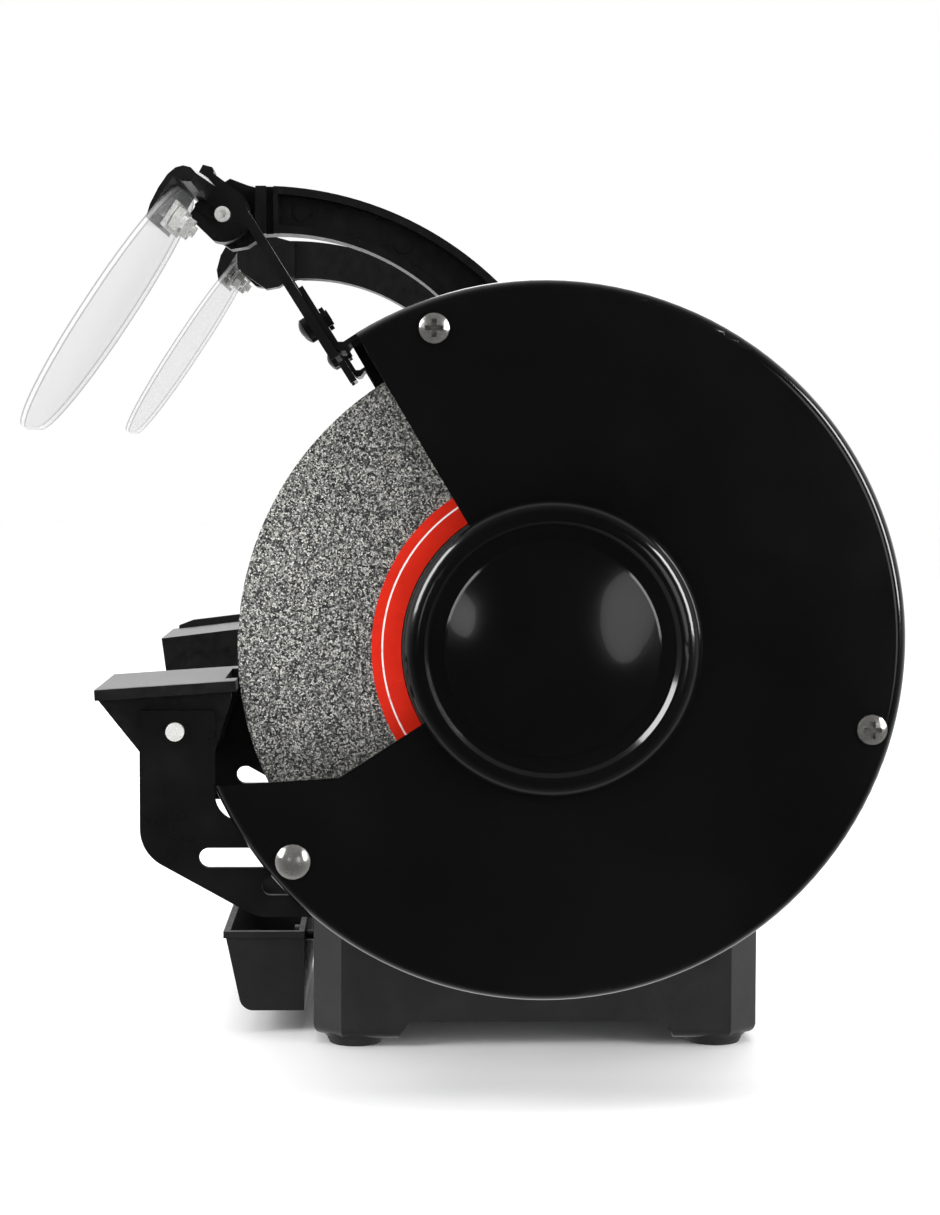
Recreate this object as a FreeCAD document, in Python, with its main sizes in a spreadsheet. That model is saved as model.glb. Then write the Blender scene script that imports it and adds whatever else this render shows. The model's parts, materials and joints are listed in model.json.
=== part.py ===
"""Bench grinder with two 200 mm wheels, as separate pieces in one frame.

+X runs along the shaft to the operator's right, -Y is the operator's side and +Z is up.
The origin is on the bench, below the middle of the shaft. Every length is in millimetres.
"""
import FreeCAD, Part
import math
import os
import re
import Sketcher

V = FreeCAD.Vector
SIDES = (("right", 1), ("left", -1))
FULL_TURN = 360.0
SWITCH_THROW = 14.0

# The driving dimensions. A name that ends in _x is a distance from the middle plane.
DIMENSIONS = {
    # shaft, motor and bearings
    "shaft_height": 148.0,
    "motor_radius": 72.0,
    "motor_wall": 5.0,
    "shell_half": 82.0,
    "stack_half": 35.0,
    "rotor_radius": 38.0,
    "stator_bore": 38.5,
    "core_seat": 12.0,
    "journal_radius": 10.0,
    "arbor_radius": 7.9,
    "shoulder_x": 137.4,
    "shaft_end_x": 189.0,
    "bearing_x": 105.0,
    "bearing_width": 14.0,
    "bearing_radius": 23.5,
    "race_inner": 14.4,
    "race_outer": 19.1,
    "ball_pitch": 16.75,
    "ball_radius": 3.97,
    "ball_play": 0.05,
    "washer_gap": 1.0,
    "bell_face_x": 126.7,
    "bell_boss": 42.0,
    "tie_circle": 62.0,
    "tie_radius": 2.5,
    # grinding wheels
    "wheel_radius": 100.0,
    "wheel_x": 155.0,
    "wheel_width": 25.0,
    "label_radius": 57.4,
    "label_thick": 0.8,
    "flange_radius": 28.0,
    "flange_thick": 3.4,
    "nut_flats": 23.8,
    "nut_thick": 11.0,
    # wheel guards
    "guard_y": -2.7,
    "guard_z": 151.0,
    "guard_radius": 113.2,
    "sheet_thick": 1.5,
    "guard_back_x": 127.0,
    "cover_x": 185.0,
    "cover_edge": 3.5,
    "rim_radius": 111.4,
    "rim_end_x": 182.0,
    "dome_y": -0.8,
    "dome_z": 149.3,
    "dome_radius": 47.0,
    "channel_radius": 40.0,
    "cap_radius": 33.2,
    "shoulder_rise": 5.2,
    "channel_drop": 1.2,
    "cap_rise": 4.4,
    "guard_screw_circle": 34.0,
    # tool rests
    "leg_outer_x": 178.3,
    "leg_inner_x": 130.0,
    "leg_thick": 2.5,
    "leg_front_y": -129.9,
    "leg_top_z": 129.5,
    "rest_pin_y": -118.7,
    "rest_pin_z": 122.9,
    "rest_pin_radius": 2.8,
    "table_in_x": 128.0,
    "table_out_x": 186.0,
    "table_thick": 3.3,
    "skirt_thick": 1.6,
    "slot_radius": 3.15,
    "rest_bolt_radius": 2.4,
    "rest_bolt_y": -81.8,
    "outer_bolt_z": 82.4,
    "inner_bolt_z": 103.2,
    # eye shields
    "arm_in_x": 110.0,
    "arm_out_x": 126.0,
    "pivot_y": -106.9,
    "pivot_z": 288.2,
    "pivot_radius": 2.6,
    "cheek_radius": 9.1,
    "heel_in_x": 106.5,
    "heel_out_x": 117.4,
    "cheek_in_x": 118.0,
    "cheek_out_x": 129.6,
    "hood_end_x": 196.0,
    "lens_width": 118.0,
    "lens_length": 89.7,
    "lens_thick": 2.0,
    "lens_corner": 43.0,
    "lens_tip_y": -166.1,
    "lens_tip_z": 217.8,
    "lens_slope": 56.5,
    "lens_screw_spread": 18.0,
    "lens_screw_along": 81.0,
    # spark arrestors
    "spark_slope": 57.7,
    "spark_thick": 3.0,
    "spark_in_x": 132.0,
    "spark_out_x": 182.0,
    "spark_bolt_y": -75.5,
    "spark_bolt_z": 250.5,
    # base, feet and water tray
    "base_half_x": 85.0,
    "base_half_y": 79.0,
    "base_corner": 10.0,
    "base_bottom": 3.0,
    "base_top": 66.0,
    "base_wall": 5.0,
    "pedestal_half_x": 60.0,
    "pedestal_half_y": 42.0,
    "pedestal_top": 92.0,
    "notch_top": 9.2,
    "notch_half_y": 45.0,
    "foot_x": 73.0,
    "foot_y": 64.0,
    "foot_radius": 10.8,
    "mount_hole": 4.5,
    "tray_half_x": 60.0,
    "tray_top": 37.0,
    "tray_bottom": 8.1,
    "tray_wall": 2.0,
    "tray_front_y": -111.7,
    "tray_back_y": -82.9,
    # switch and cord inlet
    "switch_z": 54.0,
    "gland_x": -48.0,
    "gland_z": 34.0,
}

doc = FreeCAD.newDocument("bench_grinder")
sheet = doc.addObject("Spreadsheet::Sheet", "dims")
for row, (alias, value) in enumerate(DIMENSIONS.items(), start=1):
    sheet.set(f"A{row}", str(value))
    sheet.setAlias(f"A{row}", alias)
doc.recompute()

nodes = {}


# ---------------------------------------------------------------- small tools

def bound(text):
    """The expression with every alias pointed at the sheet."""
    def point(match):
        word = match.group(0)
        return "dims." + word if word in DIMENSIONS else word
    return re.sub(r"[a-z_]+", point, str(text))


def val(text):
    """The number that an expression gives now."""
    return float(sheet.evalExpression(str(text)))


def bind(thing, prop, text):
    thing.setExpression(prop, bound(text))


def node(label, thing):
    """Names a finished piece."""
    thing.Label = label
    nodes[label] = thing
    return thing


def span(side, near, far):
    """Start along X of something between two distances from the middle plane."""
    return near if side > 0 else f"-({far})"


def new_body(label):
    return node(label, doc.addObject("PartDesign::Body", label))


def sketch(body, role, shift_x="0", shift_y="0", lift="0"):
    plane = next(f for f in body.Origin.OriginFeatures if f.Role == role)
    made = body.newObject("Sketcher::SketchObject", body.Label + "_sketch")
    made.AttachmentSupport = [(plane, "")]
    made.MapMode = "FlatFace"
    for axis, text in zip("xyz", (shift_x, shift_y, lift)):
        bind(made, "AttachmentOffset.Base." + axis, text)
    return made


def place_point(made, index, corner, x, y):
    """Fixes one end or centre of a sketch curve at (x, y)."""
    for kind, text in (("DistanceX", x), ("DistanceY", y)):
        number = made.addConstraint(Sketcher.Constraint(kind, -1, 1, index, corner, val(text)))
        bind(made, f"Constraints[{number}]", text)


def arc_between(start, end, radius, turn):
    """Arc of a circle from start to end, turning left (1) or right (-1), under half a turn."""
    chord = end - start
    rise = math.sqrt(max(radius ** 2 - (chord.Length / 2) ** 2, 0.0))
    left = V(-chord.y, chord.x, 0).normalize()
    centre = (start + end) / 2 + left * (rise * turn)
    first, last = (start, end) if turn > 0 else (end, start)
    angles = [math.atan2((p - centre).y, (p - centre).x) for p in (first, last)]
    return Part.ArcOfCircle(Part.Circle(centre, V(0, 0, 1), radius), *angles)


def outline(made, corners):
    """Closed outline. A corner is (x, y), or (x, y, radius, turn) where an arc leaves it."""
    points = [V(val(c[0]), val(c[1]), 0) for c in corners]
    count = len(corners)
    base = made.GeometryCount
    ends = []
    for i, corner in enumerate(corners):
        after = points[(i + 1) % count]
        if len(corner) == 4:
            made.addGeometry(arc_between(points[i], after, val(corner[2]), corner[3]))
            ends.append((1, 2) if corner[3] > 0 else (2, 1))
        else:
            made.addGeometry(Part.LineSegment(points[i], after))
            ends.append((1, 2))
    for i in range(count):
        after = (i + 1) % count
        made.addConstraint(
            Sketcher.Constraint("Coincident", base + i, ends[i][1], base + after, ends[after][0]))
    for i, corner in enumerate(corners):
        place_point(made, base + i, ends[i][0], corner[0], corner[1])
        if len(corner) == 4:
            number = made.addConstraint(Sketcher.Constraint("Radius", base + i, val(corner[2])))
            bind(made, f"Constraints[{number}]", corner[2])


def circle(made, x, y, radius):
    index = made.addGeometry(Part.Circle(V(val(x), val(y), 0), V(0, 0, 1), val(radius)))
    place_point(made, index, 3, x, y)
    number = made.addConstraint(Sketcher.Constraint("Radius", index, val(radius)))
    bind(made, f"Constraints[{number}]", radius)


def rectangle(made, x0, y0, x1, y1):
    outline(made, [(x0, y0), (x1, y0), (x1, y1), (x0, y1)])


def slot(made, x0, x1, y, radius):
    """Slot along the sketch's first axis, with round ends centred at x0 and x1."""
    outline(made, [(x0, f"{y} - {radius}"), (x1, f"{y} - {radius}", radius, 1),
                   (f"{x1} + {radius}", y, radius, 1), (x1, f"{y} + {radius}"),
                   (x0, f"{y} + {radius}", radius, 1), (f"{x0} - {radius}", y, radius, 1)])


def pad(body, made, length):
    feature = body.newObject("PartDesign::Pad", body.Label + "_pad")
    feature.Profile = made
    bind(feature, "Length", length)
    return feature


def pocket(body, made, length):
    """Cuts along the sketch's normal, and checks that it cut something."""
    doc.recompute()
    before = body.Shape.Volume
    feature = body.newObject("PartDesign::Pocket", body.Label + "_pocket")
    feature.Profile = made
    feature.Reversed = True
    bind(feature, "Length", length)
    doc.recompute()
    if body.Shape.Volume > before - 0.01:
        raise RuntimeError(body.Label + ": a pocket cut nothing")
    return feature


def revolve(body, made):
    feature = body.newObject("PartDesign::Revolution", body.Label + "_revolution")
    feature.Profile = made
    feature.ReferenceAxis = (made, ["H_Axis"])
    feature.Angle = FULL_TURN
    return feature


def turned(body, profile, y="0", z="shaft_height"):
    """Revolves a profile of (x, radius) corners about a line along X through (y, z)."""
    made = sketch(body, "XZ_Plane", shift_y=z, lift=f"-({y})")
    outline(made, profile)
    return revolve(body, made)


def plate(body, side, near, far, corners, holes=(), slots=()):
    """Pads a (y, z) outline between two distances from the middle plane."""
    made = sketch(body, "YZ_Plane", lift=span(side, near, far))
    outline(made, corners)
    for y, z, radius in holes:
        circle(made, y, z, radius)
    for y0, y1, z, radius in slots:
        slot(made, y0, y1, z, radius)
    return pad(body, made, f"({far}) - ({near})")


def cut_plate(body, side, near, far, corners=None, holes=()):
    """Cuts a (y, z) outline or round holes between two distances from the middle plane."""
    made = sketch(body, "YZ_Plane", lift=span(side, near, far))
    if corners:
        outline(made, corners)
    for y, z, radius in holes:
        circle(made, y, z, radius)
    return pocket(body, made, f"({far}) - ({near})")


def round_edges(body, radius, test):
    """Rounds the edges whose two ends both pass a test."""
    doc.recompute()
    tip = body.Tip
    names = [f"Edge{number}" for number, edge in enumerate(tip.Shape.Edges, start=1)
             if len(edge.Vertexes) == 2 and all(test(vertex.Point) for vertex in edge.Vertexes)]
    feature = body.newObject("PartDesign::Fillet", body.Label + "_fillet")
    feature.Base = (tip, names)
    bind(feature, "Radius", radius)
    doc.recompute()
    return feature


def round_along_x(body, y, z, radius):
    """Rounds the edges that run along X through (y, z)."""
    spot_y, spot_z = val(y), val(z)
    return round_edges(body, radius,
                       lambda p: abs(p.y - spot_y) < 0.05 and abs(p.z - spot_z) < 0.05)


AXES = {"x": (V(0, 1, 0), 90), "y": (V(1, 0, 0), -90), "z": (V(0, 0, 1), 0)}


def rod(axis, x, y, z, radius, length):
    """Cylinder that starts at (x, y, z) and runs along +axis."""
    made = doc.addObject("Part::Cylinder", "rod")
    made.Placement = FreeCAD.Placement(V(0, 0, 0), FreeCAD.Rotation(*AXES[axis]))
    for prop, text in (("Radius", radius), ("Height", length), ("Placement.Base.x", x),
                       ("Placement.Base.y", y), ("Placement.Base.z", z)):
        bind(made, prop, text)
    return made


def rod_out(side, near, far, y, z, radius):
    """Cylinder along X between two distances from the middle plane."""
    return rod("x", span(side, near, far), y, z, radius, f"({far}) - ({near})")


def hexagon_out(side, near, far, y, z, flats):
    """Hexagonal nut along X between two distances from the middle plane."""
    made = doc.addObject("Part::Prism", "hexagon")
    made.Polygon = 6
    made.Placement = FreeCAD.Placement(V(0, 0, 0), FreeCAD.Rotation(*AXES["x"]))
    bind(made, "Circumradius", f"({flats}) / sqrt(3)")
    for prop, text in (("Height", f"({far}) - ({near})"), ("Placement.Base.x", span(side, near, far)),
                       ("Placement.Base.y", y), ("Placement.Base.z", z)):
        bind(made, prop, text)
    return made


def block(x0, y0, z0, x1, y1, z1):
    made = doc.addObject("Part::Box", "block")
    for prop, text in (("Length", f"({x1}) - ({x0})"), ("Width", f"({y1}) - ({y0})"),
                       ("Height", f"({z1}) - ({z0})"), ("Placement.Base.x", x0),
                       ("Placement.Base.y", y0), ("Placement.Base.z", z0)):
        bind(made, prop, text)
    return made


def joined(pieces):
    made = doc.addObject("Part::MultiFuse", "joined")
    made.Shapes = pieces
    return made


def cut(base, tool):
    made = doc.addObject("Part::Cut", "cut")
    made.Base = base
    made.Tool = tool
    return made


def group(label, pieces):
    """Separate solids that share one node."""
    made = doc.addObject("Part::Compound", "group")
    made.Links = pieces
    return node(label, made)


def turn_about_x(things, degrees, y, z):
    """Turns finished pieces about a line along X through (y, z)."""
    centre = V(0, val(y), val(z))
    move = FreeCAD.Placement(V(0, 0, 0), FreeCAD.Rotation(V(1, 0, 0), degrees), centre)
    for thing in things:
        thing.Placement = move.multiply(thing.Placement)


def dome_bend(radius, rise):
    """Radius of the ball whose cap has this radius and rise."""
    return (radius ** 2 + rise ** 2) / (2 * rise)


def domed(stem, bend, x, y, z):
    """A rod with its end rounded by a ball of radius bend round (x, y, z)."""
    ball = doc.addObject("Part::Sphere", "ball")
    for prop, text in (("Radius", bend), ("Placement.Base.x", x), ("Placement.Base.y", y),
                       ("Placement.Base.z", z)):
        bind(ball, prop, text)
    made = doc.addObject("Part::Common", "domed")
    made.Base = ball
    made.Tool = stem
    return made


def domed_head(side, face, y, z, radius, height, rise):
    """Round head that stands on a face and ends in a dome of this rise."""
    bend = dome_bend(radius, rise)
    stem = rod_out(side, face, f"({face}) + {height} + 1", y, z, radius)
    return domed(stem, bend, f"{side} * (({face}) + {height - bend})", y, z)


def screw_out(side, face, depth, y, z, shank, head, head_thick):
    """Pan-head screw whose head sits on a face, with a cross recess."""
    body_rod = rod_out(side, f"({face}) - ({depth})", face, y, z, shank)
    whole = joined([body_rod, domed_head(side, face, y, z, head, head_thick, 0.6 * head_thick)])
    arm = 0.6 * head
    half = 0.17 * head
    start = span(side, f"({face}) + {0.25 * head_thick}", f"({face}) + {head_thick} + 1")
    end = f"({start}) + {0.75 * head_thick} + 1"
    cross = joined([
        block(start, f"({y}) - {arm}", f"({z}) - {half}", end, f"({y}) + {arm}", f"({z}) + {half}"),
        block(start, f"({y}) - {half}", f"({z}) - {arm}", end, f"({y}) + {half}", f"({z}) + {arm}")])
    return cut(whole, cross)


def sloped(y, z, degrees):
    """Placement through (y, z): X stays, the second axis climbs by an angle from +Y."""
    return FreeCAD.Placement(V(0, val(y), val(z)), FreeCAD.Rotation(V(1, 0, 0), val(degrees)))


def free_sketch(body, lay):
    """Sketch on a sloped plane instead of one of the body's own planes."""
    made = body.newObject("Sketcher::SketchObject", body.Label + "_sketch")
    made.Placement = lay
    return made


# ---------------------------------------------------------------- base, feet and tray

BASE_CORNERS = [(x, y) for x in (-1, 1) for y in (-1, 1)]


def base_outline(inset):
    """Rectangle with cut corners, as (x, y) corners."""
    far_x, far_y = f"(base_half_x - {inset})", f"(base_half_y - {inset})"
    near_x, near_y = f"({far_x} - base_corner)", f"({far_y} - base_corner)"
    return [(f"-{near_x}", f"-{far_y}"), (near_x, f"-{far_y}"), (far_x, f"-{near_y}"),
            (far_x, near_y), (near_x, far_y), (f"-{near_x}", far_y), (f"-{far_x}", near_y),
            (f"-{far_x}", f"-{near_y}")]


def plate_screw_spots():
    """(x, y) of the four screws of the plate that closes the base."""
    return [(f"{sx} * 40", f"{sy} * (base_half_y - base_wall - 3)") for sx, sy in BASE_CORNERS]


def make_base():
    """Hollow casting: a box with cut corners, and a pedestal with a saddle for the motor."""
    body = new_body("base_casting")
    low = sketch(body, "XY_Plane", lift="base_bottom")
    outline(low, base_outline(0))
    pad(body, low, "base_top - base_bottom")
    floor_z = val("base_bottom")
    round_edges(body, "3.4", lambda p: abs(p.z - floor_z) < 0.01)
    stand = sketch(body, "XY_Plane", lift="base_top - 2")
    rectangle(stand, "-pedestal_half_x", "-pedestal_half_y", "pedestal_half_x", "pedestal_half_y")
    pad(body, stand, "pedestal_top - base_top + 2")
    doc.recompute()
    outer = V(val("base_half_x - base_corner - 1"), val("base_half_y - base_corner - 1"),
              val("base_top"))
    round_edges(body, "5", lambda p: abs(p.z - outer.z) < 0.01 and abs(p.x) > outer.x
                and abs(p.y) > outer.y)
    hollow = sketch(body, "XY_Plane", lift="base_bottom")
    outline(hollow, base_outline("base_wall"))
    pocket(body, hollow, "base_top - base_bottom - base_wall")
    bosses = sketch(body, "XY_Plane", lift="base_bottom")
    for sx, sy in BASE_CORNERS:
        circle(bosses, f"{sx} * foot_x", f"{sy} * foot_y", "foot_radius + 0.5")
    pad(body, bosses, "base_top - base_bottom - 2")
    plate_bosses = sketch(body, "XY_Plane", lift="notch_top + 2.2")
    for x, y in plate_screw_spots():
        circle(plate_bosses, x, y, 5)
    pad(body, plate_bosses, 12)
    holes = sketch(body, "XY_Plane", lift="base_bottom")
    for sx, sy in BASE_CORNERS:
        circle(holes, f"{sx} * foot_x", f"{sy} * foot_y", "mount_hole")
    pocket(body, holes, 30)
    tapped = sketch(body, "XY_Plane", lift="notch_top + 2.2")
    for x, y in plate_screw_spots():
        circle(tapped, x, y, 1.7)
    pocket(body, tapped, 9)
    notch = sketch(body, "YZ_Plane", lift="-base_half_x - 1")
    outline(notch, [("-notch_half_y - 4", "base_bottom - 1"), ("notch_half_y + 4", "base_bottom - 1"),
                    ("notch_half_y + 3", "base_bottom + 2"), ("notch_half_y", "notch_top"),
                    ("-notch_half_y", "notch_top"), ("-notch_half_y - 3", "base_bottom + 2")])
    pocket(body, notch, "2 * base_half_x + 2")
    saddle = sketch(body, "YZ_Plane", lift="-pedestal_half_x - 1")
    circle(saddle, 0, "shaft_height", "motor_radius + 0.3")
    pocket(body, saddle, "2 * pedestal_half_x + 2")
    wires = sketch(body, "XY_Plane", lift="base_bottom")
    circle(wires, 0, 20, 7)
    for sx in (-1, 1):
        circle(wires, f"{sx} * 50", 0, 3.1)
    pocket(body, wires, 100)
    window = sketch(body, "XZ_Plane", lift="base_half_y - base_wall - 1")
    rectangle(window, -13.3, "switch_z - 7", 13.3, "switch_z + 7")
    pocket(body, window, "base_wall + 2")
    inlet = sketch(body, "XZ_Plane", lift="-base_half_y - 1")
    circle(inlet, "gland_x", "gland_z", 8.2)
    pocket(body, inlet, "base_wall + 2")
    hooks = sketch(body, "XZ_Plane", lift="base_half_y - base_wall - 1")
    for sx in (-1, 1):
        circle(hooks, f"{sx} * 35", "tray_top - 6", 2.0)
    pocket(body, hooks, "base_wall + 2")


def make_base_fittings():
    """Closing plate, rubber feet, cord gland, capacitor and terminal block."""
    lid = new_body("base_cover_plate")
    made = sketch(lid, "XY_Plane", lift="notch_top + 0.4")
    far_x, far_y = "(base_half_x - base_wall - 0.5)", "(base_half_y - base_wall - 0.5)"
    near_x, near_y = "(foot_x - foot_radius - 1)", "(foot_y - foot_radius - 1)"
    corners = []
    for sx, sy in ((1, -1), (1, 1), (-1, 1), (-1, -1)):
        step = [(f"{sx} * {near_x}", f"{sy} * {far_y}"), (f"{sx} * {near_x}", f"{sy} * {near_y}"),
                (f"{sx} * {far_x}", f"{sy} * {near_y}")]
        corners += step if sx * sy < 0 else step[::-1]
    outline(made, corners)
    spots = plate_screw_spots()
    for x, y in spots:
        circle(made, x, y, 2.0)
    pad(lid, made, "sheet_thick")
    screws = []
    for x, y in spots:
        shank = rod("z", x, y, "notch_top + 0.4", 1.6, 9)
        head = rod("z", x, y, "notch_top - 1.7", 2.8, 2.1)
        screws.append(joined([shank, head]))
    group("base_plate_screws", screws)

    feet = []
    for sx, sy in BASE_CORNERS:
        pad_rod = doc.addObject("Part::Cone", "foot")
        for prop, text in (("Radius1", "foot_radius - 1.4"), ("Radius2", "foot_radius"),
                           ("Height", "base_bottom"), ("Placement.Base.x", f"{sx} * foot_x"),
                           ("Placement.Base.y", f"{sy} * foot_y")):
            bind(pad_rod, prop, text)
        hole = rod("z", f"{sx} * foot_x", f"{sy} * foot_y", -1, "mount_hole", "base_bottom + 2")
        feet.append(cut(pad_rod, hole))
    group("rubber_feet", feet)

    gland = [rod("y", "gland_x", "base_half_y - base_wall - 6", "gland_z", 8, "base_wall + 16"),
             rod("y", "gland_x", "base_half_y + 0.1", "gland_z", 10.5, 5)]
    lock_nut = rod("y", "gland_x", "base_half_y - base_wall - 4", "gland_z", 10.5, 3.9)
    throat = rod("y", "gland_x", "base_half_y - 20", "gland_z", 4, 60)
    node("cord_inlet_gland", cut(joined(gland + [lock_nut]), throat))

    can = joined([rod("x", -35, 42, 36, 19, 70), rod("x", 35, 47, 36, 1.6, 7),
                  rod("x", 35, 37, 36, 1.6, 7)])
    node("capacitor", can)
    clips = [block(f"{x} - 4", -34, 59.2, f"{x} + 4", -14, 60.9) for x in (-20, 0, 20)]
    bar = block(-28, -32, 51, 28, -16, 59.3)
    wells = joined([rod("z", x, y, 49, 2.4, 6) for x in (-20, 0, 20) for y in (-28, -20)])
    node("terminal_block", cut(joined([bar] + clips), wells))


def make_tray():
    """Open water tray that hangs by two keyholes on the front of the base."""
    body = new_body("water_tray")
    slope = 6.2
    corners = [("tray_front_y", "tray_top"), (f"tray_front_y + {slope}", "tray_bottom"),
               ("tray_back_y", "tray_bottom"), ("tray_back_y", "tray_top")]
    middle_span = "2 * tray_half_x"
    made = sketch(body, "YZ_Plane", lift="-tray_half_x")
    outline(made, corners)
    pad(body, made, middle_span)
    low_front = (f"tray_front_y + {slope}", "tray_bottom")
    round_along_x(body, *low_front, 5)
    hollow = sketch(body, "YZ_Plane", lift="-tray_half_x + tray_wall")
    outline(hollow, [("tray_front_y + tray_wall - 0.2", "tray_top + 1"),
                     (f"tray_front_y + {slope} + tray_wall - 0.4", "tray_bottom + tray_wall", 3.4, 1),
                     (f"tray_front_y + {slope} + tray_wall + 2", "tray_bottom + tray_wall - 0.01"),
                     ("tray_back_y - tray_wall", "tray_bottom + tray_wall"),
                     ("tray_back_y - tray_wall", "tray_top + 1")])
    pocket(body, hollow, "2 * (tray_half_x - tray_wall)")
    rim = sketch(body, "XY_Plane", lift="tray_top - 2.4")
    rectangle(rim, "-tray_half_x - 0.5", "tray_front_y - 0.4", "tray_half_x + 0.5", "tray_back_y")
    rectangle(rim, "-tray_half_x + tray_wall", "tray_front_y + tray_wall",
              "tray_half_x - tray_wall", "tray_back_y - tray_wall")
    pad(body, rim, 2.4)
    keys = sketch(body, "XZ_Plane", lift="-tray_back_y - 1")
    for sx in (-1, 1):
        circle(keys, f"{sx} * 35", "tray_top - 15", 4.4)
    pocket(body, keys, "tray_wall + 2")
    necks = sketch(body, "XZ_Plane", lift="-tray_back_y - 1")
    for sx in (-1, 1):
        middle = f"({sx} * 35)"
        outline(necks, [(f"{middle} - 2.3", "tray_top - 14"), (f"{middle} + 2.3", "tray_top - 14"),
                        (f"{middle} + 2.3", "tray_top - 6", 2.3, 1), (middle, "tray_top - 3.7", 2.3, 1),
                        (f"{middle} - 2.3", "tray_top - 6")])
    pocket(body, necks, "tray_wall + 2")
    screws = []
    for sx in (-1, 1):
        middle = f"{sx} * 35"
        screws.append(joined([
            rod("y", middle, "tray_back_y - tray_wall - 2.4", "tray_top - 6", 3.8, 2.1),
            rod("y", middle, "tray_back_y - tray_wall - 0.4", "tray_top - 6", 1.95,
                "base_wall + 8 + tray_wall")]))
    group("tray_screws", screws)


def make_switch():
    """Rocker switch that snaps into the window in the front of the base."""
    frame_x, frame_z, well_x, well_z = 16, 10.5, 11.2, 6.2
    face_y = "-base_half_y - 2.2"
    housing = joined([
        block(-frame_x, face_y, f"switch_z - {frame_z}", frame_x, "-base_half_y - 0.2",
              f"switch_z + {frame_z}"),
        block(-13, "-base_half_y - 0.3", "switch_z - 6.8", 13, "-base_half_y + 22", "switch_z + 6.8")])
    well = block(-well_x, "-base_half_y - 4", f"switch_z - {well_z}", well_x,
                 "-base_half_y + 8", f"switch_z + {well_z}")
    tabs = joined([block(x, "-base_half_y + 21", "switch_z - 3", f"{x} + 0.8",
                         "-base_half_y + 30", "switch_z + 3") for x in (-6, 6)])
    node("switch_housing", joined([cut(housing, well), tabs]))
    rocker = new_body("switch_rocker")
    made = sketch(rocker, "YZ_Plane", lift=-10.8)
    middle_y = "-base_half_y"
    outline(made, [(f"{middle_y} - 3.6", "switch_z + 5.1"), (f"{middle_y} - 2.6", "switch_z"),
                   (f"{middle_y} - 3.6", "switch_z - 5.1"),
                   (f"{middle_y} + 3.4", "switch_z - 3.4", 4.9, 1),
                   (f"{middle_y} + 3.4", "switch_z + 3.4")])
    pad(rocker, made, 21.6)
    doc.recompute()
    turn_about_x([rocker], -SWITCH_THROW / 2, middle_y, "switch_z")


# ---------------------------------------------------------------- motor

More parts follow.
